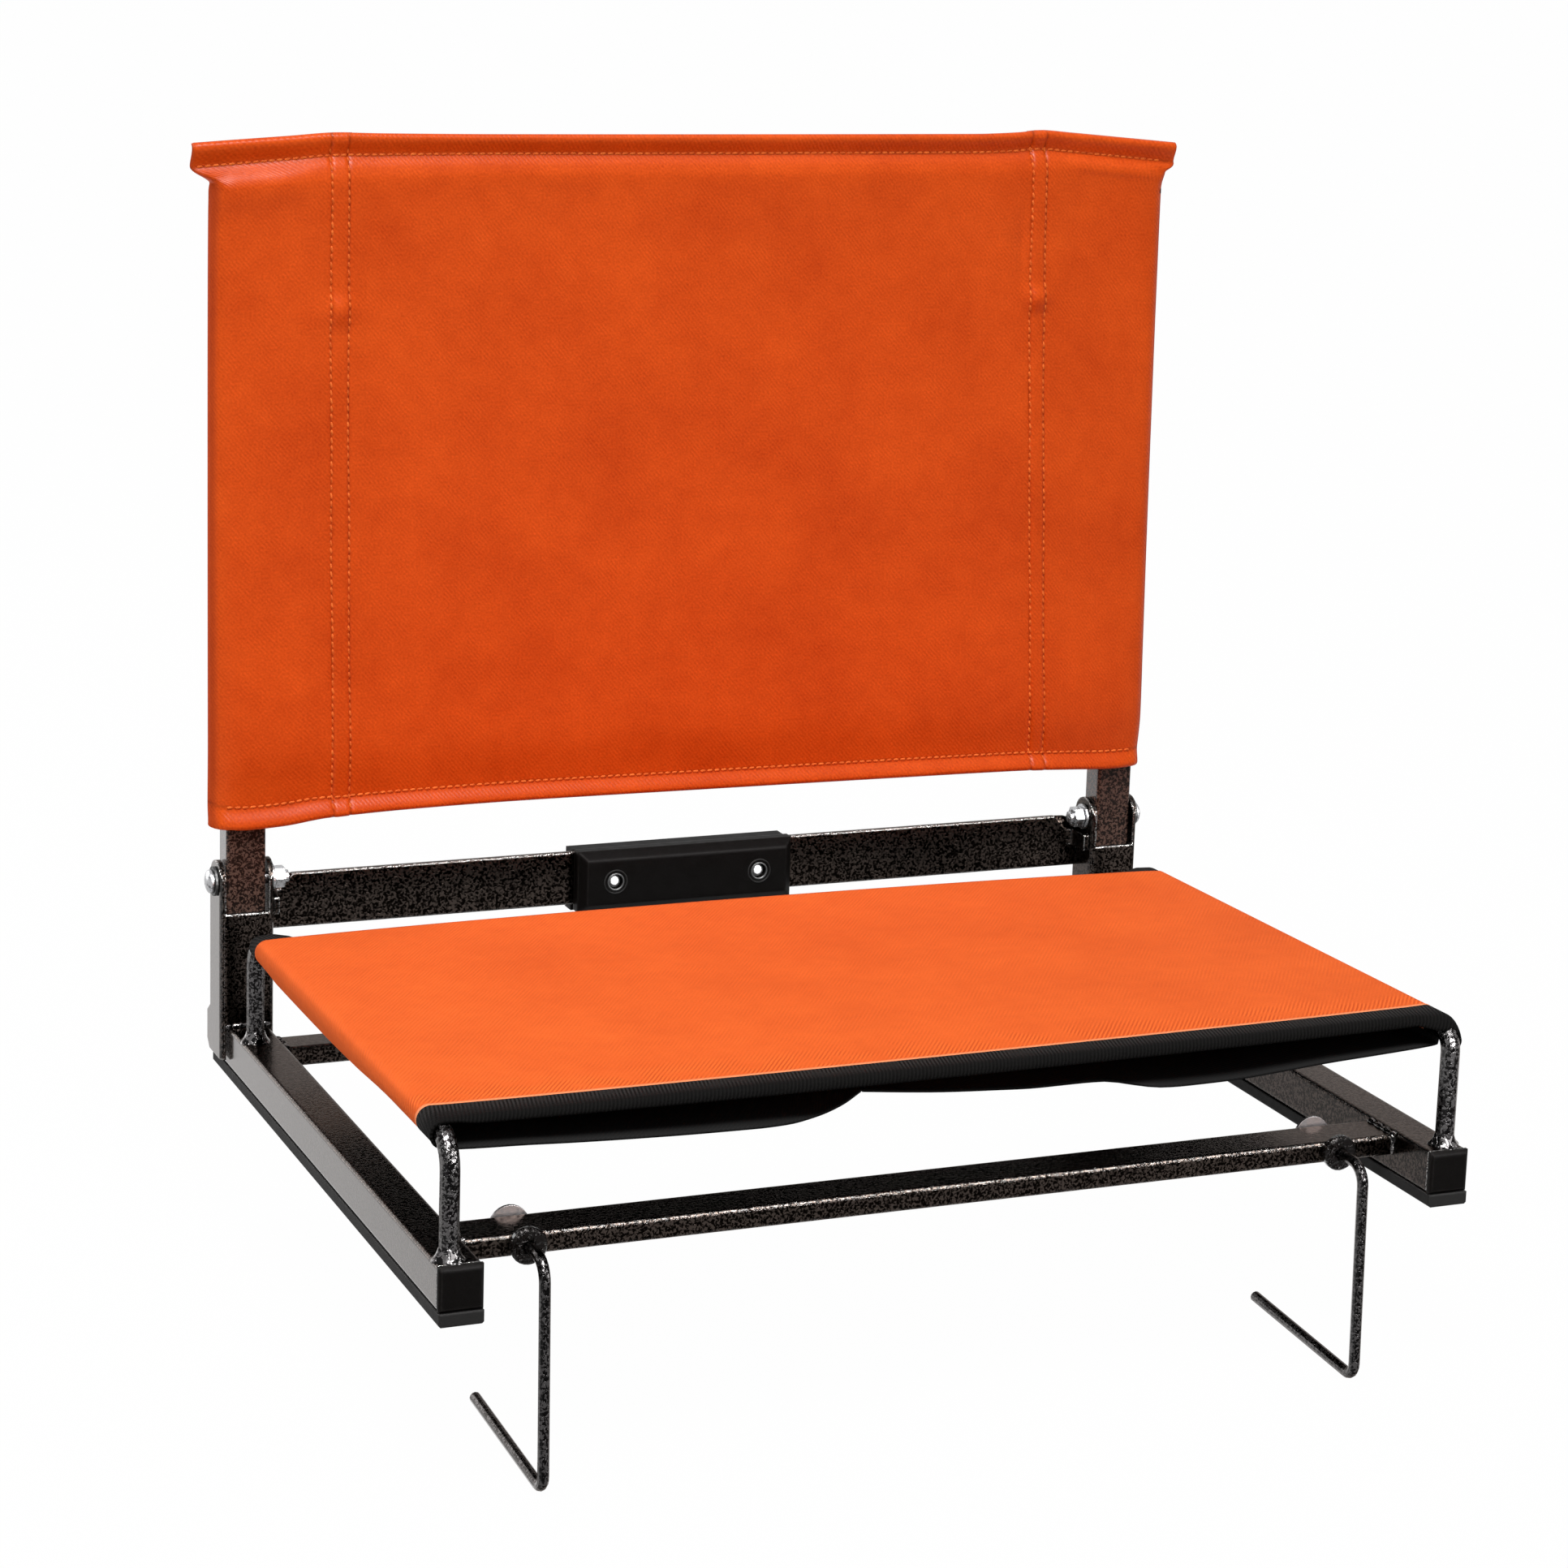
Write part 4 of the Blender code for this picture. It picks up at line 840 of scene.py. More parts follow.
    def seam(self, side: float, z: Any) -> Any:
        """Gives how far from the middle a seam runs at a height."""
        return follow(self.LEFT_SEAM if side < 0 else self.RIGHT_SEAM, z)

    def seam_at(self, x: np.ndarray, z: np.ndarray) -> tuple[np.ndarray, np.ndarray]:
        """Gives the seam on the side of each point, and half the distance between its two stitch rows."""
        seam = np.where(x < 0, self.seam(LEFT, z), self.seam(RIGHT, z))
        return seam, np.where(x < 0, self.left_rows, self.right_rows) / 2

    def edge(self, side: float, z: float, below: float) -> float:
        """Gives how far out the cloth reaches, flaring into the flat top hem.

        Args:
            side: -1 for the left, 1 for the right.
            z: The height.
            below: The distance below the top.

        Returns:
            The distance from the middle.
        """
        if side < 0:
            return self.left_edge + self.left_flare * (1.0 - ease(below, 0.0102, 0.0195))
        flare = self.right_flare + self.right_swell * ease(below, 0.0016, 0.0093)
        flare = flare * (1.0 - ease(below, 0.0098, 0.0145))
        gathered = self.right_gather * (1.0 - ease(z, self.bottom, 0.148))
        return self.right_edge - self.right_taper * (z - self.bottom) + flare - gathered

    def eased_out(self, x: np.ndarray, ends: Mapping[float, tuple[float, float, float]]) -> np.ndarray:
        """Gives how much of a roll is lost towards the outer edges."""
        return sum(share * ease(side * x, low, high) for side, (share, low, high) in ends.items())

    def forward(self, x: np.ndarray, z: np.ndarray) -> np.ndarray:
        """Gives how far the front of the cloth stands out: hems, puffs, seams, tucks and slack.

        Args:
            x: Places across.
            z: Heights.

        Returns:
            The distance towards the front.
        """
        across = np.abs(x)
        seam, half = self.seam_at(x, z)
        below = (follow(self.TOP_LINE, x) - z) * (self.top_row / follow(self.TOP_ROW, x))
        above = (z - follow(self.BOTTOM_LINE, x)) * (self.bottom_row / follow(self.BOTTOM_ROW, x))
        corner = ease(across - seam, 0.004, 0.030)
        rolled = np.where(x < 0, follow(self.LEFT_ROLL, below), follow(self.RIGHT_ROLL, below))
        out = follow(self.TOP_ROLL, below) * (1.0 - corner) + rolled * corner
        out = out * (1.0 - self.eased_out(x, self.TOP_EASED) * ease(below, 0.0105, 0.0145))
        out = out + follow(self.BOTTOM_ROLL, above) * (1.0 - self.eased_out(x, self.BOTTOM_EASED))
        body = ease(below, 0.0, 0.004)
        pucker = 0.75 + 0.25 * np.sin(z * (FULL_TURN / 0.011) + 2.0 * np.sin(z * 37.0))
        groove = sum(bump_at(across - seam + row, 0.0, 0.0009) for row in (half, -half))
        strip = 1.0 - ease(np.abs(across - seam), half - 0.0012, half + 0.0014)
        out = out + body * (self.strip * strip - self.groove * groove * pucker)
        for side, (middle, tall) in self.TUCKS.items():
            tuck = bump_at(x - side * self.seam(side, z), 0.0, self.tuck_width) * bump_at(z, middle, tall)
            out = out + self.tuck * tuck
        out = out - self.dent * bump_at(x - seam, -0.0090, 0.0028) * bump_at(z, 0.388, 0.018)
        slack = np.sin(17.0 * x + 21.0 * z + 0.6) * np.sin(19.0 * z + 2.1)
        slack = slack + 0.5 * np.sin(43.0 * x - 29.0 * z + 1.0) + 0.3 * np.sin(71.0 * x + 57.0 * z)
        inside = 1.0 - ease(across, 0.150, 0.215)
        return out + self.slack * slack * inside * ease(below, 0.01, 0.05) * ease(above, 0.01, 0.05)

    def crease(self, points: np.ndarray) -> np.ndarray:
        """Gives how deep in a stitched crease each point lies, which sets the painted shade along the creases.

        Args:
            points: Points of the cloth.

        Returns:
            A share from 0 to 1 for each point.
        """
        x, z = points[..., 0], points[..., 2]
        ragged = 0.72 + 0.28 * np.sin(z * 1700.0 + x * 1150.0)
        seam, half = self.seam_at(x, z)
        rows = bump_at(np.abs(np.abs(x) - seam) - half, 0.0, 0.0007)
        top = bump_at(follow(self.TOP_LINE, x) - z - follow(self.TOP_ROW, x), 0.0003, 0.0008)
        bottom = bump_at(z - follow(self.BOTTOM_LINE, x) - follow(self.BOTTOM_ROW, x), 0.0, 0.0007)
        return np.clip(np.maximum(np.maximum(rows, top), bottom) * ragged, 0.0, 1.0)

    def front_points(self, x: np.ndarray, z: np.ndarray, lift: Any) -> np.ndarray:
        """Gives points on the front of the cloth, lifted off its middle."""
        return np.stack([x, self.front - self.forward(x, z) - lift, z], -1)

    def rear_place(self, side: float, x: np.ndarray, z: np.ndarray) -> np.ndarray:
        """Gives where the rear layer of a sleeve lies.

        Args:
            side: -1 for the left, 1 for the right.
            x: Places across.
            z: Heights.

        Returns:
            The places from front to rear.
        """
        below = follow(self.TOP_LINE, x) - z
        near = self.front - self.forward(x, z) + self.layer
        opened = ease(np.abs(x) - self.seam(side, z), 0.002, 0.032) * ease(below, *self.SLEEVE_OPENS)
        return near + (np.maximum(self.rear, near) - near) * opened

    def levels(self) -> np.ndarray:
        """Gives the shares up the cloth, closer together at the hems and the tucks.

        Returns:
            The shares, from 0 at the bottom to 1 at the top.
        """
        ends = (0.0, 0.006, 0.045, 0.66, 0.84, 0.91, 0.99, 1.0)
        counts = (5, 14, 48, 30, 9, 30, 12)
        marks = [np.linspace(low, high, count) for low, high, count in zip(ends, ends[1:], counts)]
        return np.unique(np.round(np.concatenate(marks), 5))

    def section(self, share: float) -> np.ndarray:
        """Gives one level of the cloth, from one rear seam round both sleeves to the other.

        Args:
            share: How far up the level is.

        Returns:
            The points in order.
        """

        def level(x: np.ndarray) -> np.ndarray:
            """Gives the height of this level at each place across."""
            low, high = follow(self.BOTTOM_LINE, x), follow(self.TOP_LINE, x)
            return low + share * (high - low)

        halves: list[np.ndarray] = []
        for _, side in SIDES:
            outside = side * self.outside
            z = level(outside)
            below = follow(self.TOP_LINE, outside) - z
            seam = self.seam(side, level(side * self.about_seam))
            bulge = self.hem_bulge + self.sleeve_bulge * ease(below, *self.SLEEVE_OPENS)
            reach = self.edge(side, z, below) - bulge
            near, far = seam - self.seam_zone, seam + self.seam_zone
            inner, outer = np.linspace(0.0, near, 32)[:-1], np.linspace(far, reach, 20)[1:]
            face_x = side * np.concatenate([inner, np.linspace(near, far, 41), outer])
            face = self.front_points(face_x, level(face_x), 0.0)
            rear_x = side * np.linspace(reach, seam - self.overlap, 18)
            rear_z = level(rear_x)
            rear = np.stack([rear_x, self.rear_place(side, rear_x, rear_z), rear_z], -1)
            _, front, height = face[-1]
            depth = (rear[0, 1] - front) / 2
            out, back = arc((0.0, 0.0), 1.0, -90, 90, 10)[1:-1].T
            fold = (side * (reach + bulge * out), front + depth * (1 + back), np.full(len(out), height))
            halves.append(np.concatenate([face, np.stack(fold, -1), rear]))
        return np.concatenate([halves[0][:0:-1], halves[1]])

    def stitch_rows(self) -> list[tuple[np.ndarray, float]]:
        """Gives the rows of stitches, on the front and through to the rear.

        Returns:
            For each row its points in order and the slant of its stitches.
        """
        lift, step = self.thickness / 2 + self.stitch_lift, self.stitch_pitch / 4
        found: list[tuple[np.ndarray, float]] = []
        for _, side in SIDES:
            between = self.left_rows if side < 0 else self.right_rows
            top = follow(self.TOP_LINE, side * self.about_seam)
            z = np.arange(self.first_stitch, top - self.last_stitch, step)
            for offset in (-0.5, 0.5):
                x = side * self.seam(side, z) + offset * between + 0.0003 * np.sin(z * 61.0 + 9.0 * offset)
                for lifted in (lift, -lift - self.layer):
                    found.append((self.front_points(x, z, lifted), self.seam_slant))
        bottom, top = np.arange(*self.BOTTOM_STITCHES, step), np.arange(*self.TOP_STITCHES, step)
        hems = (
            (bottom, follow(self.BOTTOM_LINE, bottom) + follow(self.BOTTOM_ROW, bottom), self.bottom_sewn),
            (top, follow(self.TOP_LINE, top) - follow(self.TOP_ROW, top), self.top_sewn),
        )
        for x, z, sewn_through in hems:
            found.append((self.front_points(x, z, lift), self.hem_slant))
            through = np.abs(x) < sewn_through
            x, z = x[through], z[through]
            doubled = self.layer * (np.abs(x) > self.seam_at(x, z)[0] - self.overlap)
            found.append((self.front_points(x, z, -lift - doubled), self.hem_slant))
        return found

    def stitching(self, material: Material) -> Piece:
        """Lays a short plump stitch along each row at an even pitch.

        Args:
            material: The thread's finish.

        Returns:
            All the stitches as one piece.
        """
        turns, depth = around(6)[:, None], (0.0, 1.0, 0.0)
        rings = np.array(self.STITCH_RINGS)[:, :, None, None]
        place, radius = rings[:, 0], rings[:, 1]
        stitches: list[np.ndarray] = []
        for row, slant in self.stitch_rows():
            for first in range(1, len(row) - 4, 4):
                along = row[first + 2] - row[first]
                along = along / np.linalg.norm(along)
                along = along + slant * np.cross(along, depth)
                along = along / np.linalg.norm(along)
                side = np.cross(along, depth)
                up = np.cross(side, along)
                centre = (row[first] + row[first + 2]) / 2 + along * place * self.stitch_length / 2
                out = side * np.cos(turns) * self.stitch_flat + up * np.sin(turns)
                stitches.append(centre + out * radius * self.stitch_radius)
        pattern = grid_faces(len(rings), len(turns), tube=True, caps=True)
        one = len(rings) * len(turns)
        starts = range(0, one * len(stitches), one)
        faces = [tuple(start + corner for corner in face) for start in starts for face in pattern]
        return make_piece("back_stitching", stitches, faces, material)

    def build(self, finishes: Finishes) -> list[Piece]:
        """Makes the back cloth and its stitching.

        Args:
            finishes: The seat's finishes.

        Returns:
            The new pieces.
        """
        shares = self.levels()
        points = np.array([self.section(share) for share in shares])
        across = flat_lengths(points)[len(shares) // 2, :, 0]
        flat = np.stack(np.meshgrid(across, self.flat_height * shares), -1)
        cloth = woven_sheet("back_cloth", points, flat, self.thickness, finishes[Coat.BACK])
        # painted shade: the crease depth is stored for the finish to darken the creases
        crease = cloth.data.attributes.new(CREASE_SHADE, "FLOAT", "POINT")
        crease.data.foreach_set("value", self.crease(points).ravel())
        stitches = self.stitching(finishes[Coat.THREAD])
        for piece in (cloth, stitches):
            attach(piece, "back")
        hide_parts("back_panel")
        return [cloth, stitches]


# The seat


@dataclass
class SeatCloth:
    """The seat: cloth round two rods, black tape along its edges and two slack flaps beneath."""

    rod_x: float = 0.23075
    rod_z: float = 0.0747
    rod_front: float = -0.1695
    rod_rear: float = 0.1275
    rear_bend: float = 0.0125
    thickness: float = 0.0012
    wrap: float = 0.00515
    front_wrap: float = 0.00530
    rear_wrap: float = 0.00470
    front_edge: float = -0.1445
    front_skew: float = -0.0020
    rear_edge: float = 0.1075
    rear_bow: float = 0.0035
    crown: float = 0.0014
    front_sag: float = 0.0012
    ridge: float = 0.0003
    gap: float = 0.0002
    front_flat: float = 0.0136
    front_narrows: float = 0.0030
    front_turn: float = 0.0024
    front_widens: float = 0.0012
    front_lip: float = 0.0003
    left_depth: float = 0.0185
    right_depth: float = 0.0222
    rear_turn: float = 0.0025
    rear_lip: float = 0.0060
    rear_depth: float = 0.0110
    join: float = -0.0337
    join_gap: float = 0.0003
    flap_outer: float = 0.2290
    flap_front: float = -0.1575
    flap_rear: float = 0.1036
    flap_length: float = 0.2646
    flap_uncut: float = 0.94
    flap_curl: float = 0.0006
    flap_tuck: float = 0.0050
    flap_ripple: float = 0.0005

    ROD_SHAPES = {LEFT: (0.0125, 0.0, -0.0010), RIGHT: (0.0090, 0.0026, -0.0028)}
    LEFT_SAG: Keys = (
        (-0.2, 0.0), (-0.105, 0.0), (-0.085, 0.0005), (-0.047, 0.0022), (0.004, 0.0029), (0.074, 0.0025),
        (0.098, 0.0008), (0.12, 0.0),
    )
    LEFT_FLAP: Keys = (
        (-0.2299, 0.0686), (-0.225, 0.0679), (-0.195, 0.0666), (-0.178, 0.0657), (-0.157, 0.0648),
        (-0.122, 0.0637), (-0.092, 0.0632), (-0.034, 0.0622), (0.0, 0.0622),
    )
    RIGHT_FLAP: Keys = (
        (-0.05, 0.0621), (0.060, 0.0621), (0.088, 0.0627), (0.103, 0.0623), (0.124, 0.0625), (0.151, 0.0641),
        (0.175, 0.0659), (0.200, 0.0672), (0.2255, 0.0688), (0.2299, 0.0694),
    )
    LEFT_CUT: Keys = (
        (-0.24, -0.161), (-0.096, -0.161), (-0.082, -0.1594), (-0.066, -0.1527), (-0.050, -0.1418),
        (-0.034, -0.1265),
    )
    RIGHT_CUT: Keys = (
        (-0.0334, -0.1265), (-0.0176, -0.1320), (-0.0008, -0.1370), (0.020, -0.1410), (0.042, -0.1440),
        (0.0615, -0.1438), (0.073, -0.1455), (0.082, -0.1540), (0.091, -0.1605), (0.098, -0.161),
        (0.24, -0.161),
    )
    RODS = ["left_seat_rod", "right_seat_rod"]

    def rod_height(self, side: float, y: np.ndarray) -> np.ndarray:
        """Gives the height of a rod's middle line.

        Args:
            side: -1 for the left, 1 for the right.
            y: Places from front to rear.

        Returns:
            The heights.
        """
        bend, front_lift, rear_lift = self.ROD_SHAPES[side]
        share = (y - self.rod_front) / (self.rod_rear - self.rod_front)
        height = self.rod_z + front_lift + (rear_lift - front_lift) * share
        bends = ((bend, self.rod_front + bend - y), (self.rear_bend, y - self.rod_rear + self.rear_bend))
        for radius, past in bends:
            past = np.clip(past, 0.0, radius)
            height = height - (radius - np.sqrt(radius**2 - past**2))
        return height

    def height(self, x: np.ndarray, y: np.ndarray) -> np.ndarray:
        """Gives the height of the line drawn across between the two rods."""
        share = np.clip((x / self.rod_x + 1) / 2, 0.0, 1.0)
        return self.rod_height(LEFT, y) * (1 - share) + self.rod_height(RIGHT, y) * share

    def middle(self, x: np.ndarray) -> np.ndarray:
        """Falls from 1 midway between the rods to 0 at each of them."""
        return np.clip(1 - (x / self.rod_x) ** 2, 0.0, 1.0)

    def swell(self, x: np.ndarray, y: np.ndarray) -> np.ndarray:
        """Gives how the cloth between the rods sags in front and is crowned at the rear.

        Args:
            x: Places across.
            y: Places from front to rear.

        Returns:
            The rise over the rods' line.
        """
        share = (y - self.front_edge) / (self.rear_edge - self.front_edge)
        sag = np.clip(1.0 - share, 0.0, 1.2) ** 2
        rise = np.clip(share, 0.0, 1.2) ** 2
        return self.middle(x) ** 0.6 * (self.crown * rise - self.front_sag * sag)

    def front_line(self, x: np.ndarray) -> np.ndarray:
        """Gives where the seat cloth meets the front tape."""
        return self.front_edge + self.front_skew * np.clip(x / self.rod_x, -1.0, 1.0)

    def across(self, radius: float) -> np.ndarray:
        """Gives the cloth's line across the seat: round the left rod, over, and round the right one.

        Args:
            radius: The radius round each rod.

        Returns:
            The places across, and the heights over the rods' line.
        """
        over = np.linspace(-self.rod_x, self.rod_x, 75)[1:-1]
        flat = np.stack([over, np.full(len(over), radius)], -1)
        left = arc((-self.rod_x, 0.0), radius, 270.0, 90.0, 18)
        return np.concatenate([left, flat, arc((self.rod_x, 0.0), radius, 90.0, -90.0, 18)]).T

    def sew(
        self, name: str, places: Sequence[np.ndarray], material: Material, slot: str, node: str, **sheet: Any
    ) -> Piece:
        """Makes one sheet of the seat.

        Args:
            name: The sheet's name.
            places: Its x, y and z, in rows and columns.
            material: Its finish.
            slot: The material slot that it would fill; not used.
            node: The solid that it replaces.
            sheet: What is said of it as a sheet; not used.

        Returns:
            The new piece.
        """
        points = np.stack(np.broadcast_arrays(*places), -1)
        made = woven_sheet(name, points, flat_lengths(points), self.thickness, material)
        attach(made, "base")
        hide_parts(node)
        return made

    def panel(self, material: Material) -> Piece:
        """Makes the orange seat cloth.

        Args:
            material: Its finish.

        Returns:
            The new piece.
        """
        x, rise = self.across(self.wrap)
        under = ease(-rise / self.wrap, 0.0, 1.0) * (x < 0)
        marks = [np.linspace(0.0, 0.02, 8), np.linspace(0.02, 0.96, 62), np.linspace(0.96, 1.0, 6)]
        share, front = np.unique(np.concatenate(marks))[:, None], self.front_line(x)
        y = front + share * (self.rear_edge - front) + self.rear_bow * share**2 * self.middle(x)
        ridge = self.ridge * bump_at(y - front, 0.0011, 0.0008)
        z = self.height(x, y) + rise + self.swell(x, y) + ridge * (rise > 0)
        places = (x, y, z - follow(self.LEFT_SAG, y) * under)
        said = {"flat": (0.496, 0.254), "held": "stretched", "rests_on": self.RODS}
        return self.sew("seat_cloth", places, material, "orange_canvas", "seat_panel", **said)

    def turned_down(self, share: Any, flat: Any, turn: Any, lip: float) -> tuple[Any, Any]:
        """Follows a tape that lies flat, turns down and hangs.

        Args:
            share: How far along the tape.
            flat: The width that lies flat.
            turn: The radius of the turn.
            lip: The width that hangs.

        Returns:
            How far out it lies, and how far down.
        """
        travel = share * (flat + turn * QUARTER_TURN + lip)
        angle = np.clip((travel - flat) / turn, 0.0, QUARTER_TURN)
        hang = np.clip(travel - flat - turn * QUARTER_TURN, 0.0, None)
        return np.minimum(travel, flat) + turn * np.sin(angle), turn * (1 - np.cos(angle)) + hang

    def front_tape(self, material: Material) -> Piece:
        """Makes the wide black tape along the front edge.

        Args:
            material: Its finish.

        Returns:
            The new piece.
        """
        x, rise = self.across(self.front_wrap)
        free = ease(self.rod_x - np.abs(x), 0.004, 0.015)
        right = ease(x, -0.21, -0.08)
        flat = self.front_flat - self.front_narrows * right
        turn = self.front_turn + self.front_widens * right
        depth = np.where(x < 0, self.left_depth, self.right_depth)
        share = np.linspace(0.0, 1.0, 23)[:, None]
        out, down = self.turned_down(share, flat, turn, self.front_lip)
        y = self.front_line(x) - self.gap - (share * depth * (1 - free) + out * free)
        z = self.height(x, y) + rise + self.swell(x, y) - down * free
        said = {"flat": (0.497, 0.0180), "held": "stretched", "rests_on": [*self.RODS, "seat_cloth"]}
        return self.sew("seat_front_tape", (x, y, z), material, "black_twill", "seat_front_binding", **said)

    def rear_tape(self, material: Material) -> Piece:
        """Makes the black tape that turns down behind the rear edge.

        Args:
            material: Its finish.

        Returns:
            The new piece.
        """
        x, rise = self.across(self.rear_wrap)
        free = ease(self.rod_x - np.abs(x), 0.008, 0.026)
        lowered = 0.0004 + 0.0006 * (1.0 - ease(x, -0.1, 0.2))
        share = np.linspace(0.0, 1.0, 14)[:, None]
        out, down = self.turned_down(share, 0.0, self.rear_turn, self.rear_lip)
        reach = share * self.rear_depth * (1 - free) + out * free
        y = self.rear_edge + self.gap + reach + self.rear_bow * self.middle(x)
        z = self.height(x, y) + rise + self.crown * self.middle(x) ** 0.6 - (down + lowered) * free
        said = {"flat": (0.497, 0.0115), "held": "stretched", "rests_on": [*self.RODS, "seat_cloth"]}
        return self.sew("seat_rear_tape", (x, y, z), material, "black_twill", "seat_rear_binding", **said)

    def flap(self, name: str, side: float, material: Material) -> Piece:
        """Makes half of the slack black cloth under the seat.

        Args:
            name: Left or right.
            side: -1 for the left, 1 for the right.
            material: Its finish.

        Returns:
            The new piece.
        """
        outer, inner = side * self.flap_outer, self.join + side * self.join_gap
        shares = np.linspace(0.0, 1.0, 64) ** 1.35
        curled = np.linspace(1.0, 0.0, 9)[:-1]
        curl = np.concatenate([curled, np.zeros(len(shares))])
        x = np.concatenate([outer + side * self.flap_curl * curled, outer + (inner - outer) * shares])
        line, cut = (self.LEFT_FLAP, self.LEFT_CUT) if side < 0 else (self.RIGHT_FLAP, self.RIGHT_CUT)
        front, inward = follow(cut, x), np.abs(x - outer)
        near = np.exp(-inward / 0.06)
        share = (np.linspace(0.0, 1.0, 40) ** 1.2)[:, None]
        y = front + share * (self.flap_rear - front)
        rod = self.rod_height(side, np.clip(y, self.flap_front, 0.1))
        slope = rod - self.rod_height(side, np.array(self.flap_front))
        ripple = self.flap_ripple * np.sin(60.0 * x + 25.0 * y) * ease(share, 0.05, 0.3)
        hung = follow(line, x) + slope * near + ripple * ease(inward, 0.01, 0.05)
        places = (x, y, hung + curl * (rod - self.flap_tuck - hung))
        width, node = abs(outer - inner), f"{name}_seat_underside"
        said = {
            "flat": (width, self.flap_length),
            "held": "hung",
            "rests_on": [f"{name}_seat_rod", "seat_cloth"],
            "area": self.flap_uncut * width * self.flap_length,
        }
        return self.sew(f"{name}_seat_flap", places, material, "black_twill", node, **said)

    def build(self, finishes: Finishes) -> list[Piece]:
        """Makes all the seat's cloth.

        Args:
            finishes: The seat's finishes.

        Returns:
            The new pieces.
        """
        tape, lining = finishes[Coat.TAPE], finishes[Coat.LINING]
        made = [self.panel(finishes[Coat.SEAT]), self.front_tape(tape), self.rear_tape(tape)]
        return made + [self.flap(name, side, lining) for name, side in SIDES]


# Welds and bar details


@dataclass
class WeldBeads:
    """Lumpy weld beads where the rods, the cross tubes and the brackets meet the rails."""

    rod_x: float = 0.23075
    rod_radius: float = 0.00425
    rod_ends: Span = (-0.1695, 0.1275)
    rail_top: float = 0.0250
    tube_end: float = 0.2186
    tube_low: float = 0.0140
    tube_top: float = 0.0231
    front_tube: Span = (-0.1469, -0.1248)
    rear_tube: Span = (0.1182, 0.1358)
    bracket_x: Span = (0.2175, 0.2390)
    bracket_y: float = 0.1508
    bracket_z: float = 0.0254
    bead: float = 0.0016
    step: float = 0.0007
    round_foot: int = 48
    round_bead: int = 10

    FOOT: Keys = (
        (0.0029, -0.0004), (0.0027, 0.0003), (0.0020, 0.0010), (0.0012, 0.0020), (0.0006, 0.0032),
        (0.0002, 0.0044), (-0.0004, 0.0050),
    )

    def foot(self, name: str, centre: Point, phase: float, material: Material) -> Piece:
        """Makes the flowing bead that widens from a rod down to the rail.

        Args:
            name: The bead's name.
            centre: The middle of the rod's foot.
            phase: Turns its lumps, so that no two beads are alike.
            material: Its finish.

        Returns:
            The new piece.
        """
        turns = around(self.round_foot)
        lump = np.sin(3 * turns + phase) + 0.6 * np.sin(7 * turns + 2 * phase)
        rings = []
        for out, rise in self.FOOT:
            radius = self.rod_radius + out * (1.0 + 0.16 * lump)
            height = np.full(len(turns), centre[2]) + rise * (1.0 + 0.14 * np.sin(5 * turns + phase))
            x, y = centre[0] + radius * np.cos(turns), centre[1] + radius * np.sin(turns)
            rings.append(np.stack([x, y, height], -1))
        return make_piece(name, rings, grid_faces(len(rings), len(turns), tube=True), material)

    def path(self, corners: Sequence[Point]) -> np.ndarray:
        """Gives the middle line of a bead along a joint.

        Args:
            corners: The corners that it runs through.

        Returns:
            Its points, close together.
        """
        points: list[np.ndarray] = []
        for first, second in zip(corners, corners[1:]):
            start, end = np.array(first), np.array(second)
            steps = max(6, int(np.linalg.norm(end - start) / self.step))
            points.extend(start + (end - start) * share for share in np.linspace(0, 1, steps, endpoint=False))
        return np.array(points + [np.array(corners[-1])])

    def swept(self, name: str, corners: Sequence[Point], material: Material) -> Piece:
        """Sweeps a lumpy bead along a joint.

        Args:
            name: The bead's name.
            corners: The corners that it runs through.
            material: Its finish.

        Returns:
            The new piece.
        """
        path = self.path(corners)
        count = len(path)
        after, before = np.roll(path, -1, 0), np.roll(path, 1, 0)
        after[-1], before[0] = path[-1], path[0]
        along = after - before
        along = along / np.linalg.norm(along, axis=1, keepdims=True)
        up = np.where(np.abs(along[:, 2:]) > 0.9, (0.0, 1.0, 0.0), (0.0, 0.0, 1.0))
        side = np.cross(along, up)
        side = side / np.linalg.norm(side, axis=1, keepdims=True)
        up = np.cross(side, along)
        walk = np.arange(count) * (FULL_TURN / 9.0)
        ends = np.minimum(np.arange(count), np.arange(count)[::-1])
        lump = self.bead * (1.0 + 0.22 * np.sin(walk) + 0.12 * np.sin(2.3 * walk + 1.0))
        lump = lump * (0.35 + 0.65 * ease(ends, 0, 4))
        turns = around(self.round_bead)[None, :, None]
        out = side[:, None] * np.cos(turns) + up[:, None] * np.sin(turns)
        points = path[:, None] + out * lump[:, None, None]
        return make_piece(name, points, grid_faces(count, self.round_bead, tube=True, caps=True), material)

    def build(self, finishes: Finishes) -> list[Piece]:
        """Makes every bead.

        Args:
            finishes: The seat's finishes.

        Returns:
            The new pieces.
        """
        weld = finishes[Coat.WELD]
        made: list[Piece] = []
        joints: dict[str, list[Point]] = {}
        for name, side in SIDES:
            for end, y in zip(("front", "rear"), self.rod_ends):
                foot = (side * self.rod_x, y, self.rail_top)
                made.append(self.foot(f"{name}_{end}_rod_weld", foot, side + y * 40, weld))
            x = side * self.tube_end
            for end, (near, far) in (("front", self.front_tube), ("rear", self.rear_tube)):
                corners = [(x, near, self.tube_low), (x, near, self.tube_top), (x, far, self.tube_top)]
                joints[f"{name}_{end}_tube_weld"] = corners
            ends = [(side * across, self.bracket_y, self.bracket_z) for across in self.bracket_x]
            joints[f"{name}_bracket_weld"] = ends
        made += [self.swept(name, corners, weld) for name, corners in joints.items()]
        for piece in made:
            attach(piece, "base")
        return made


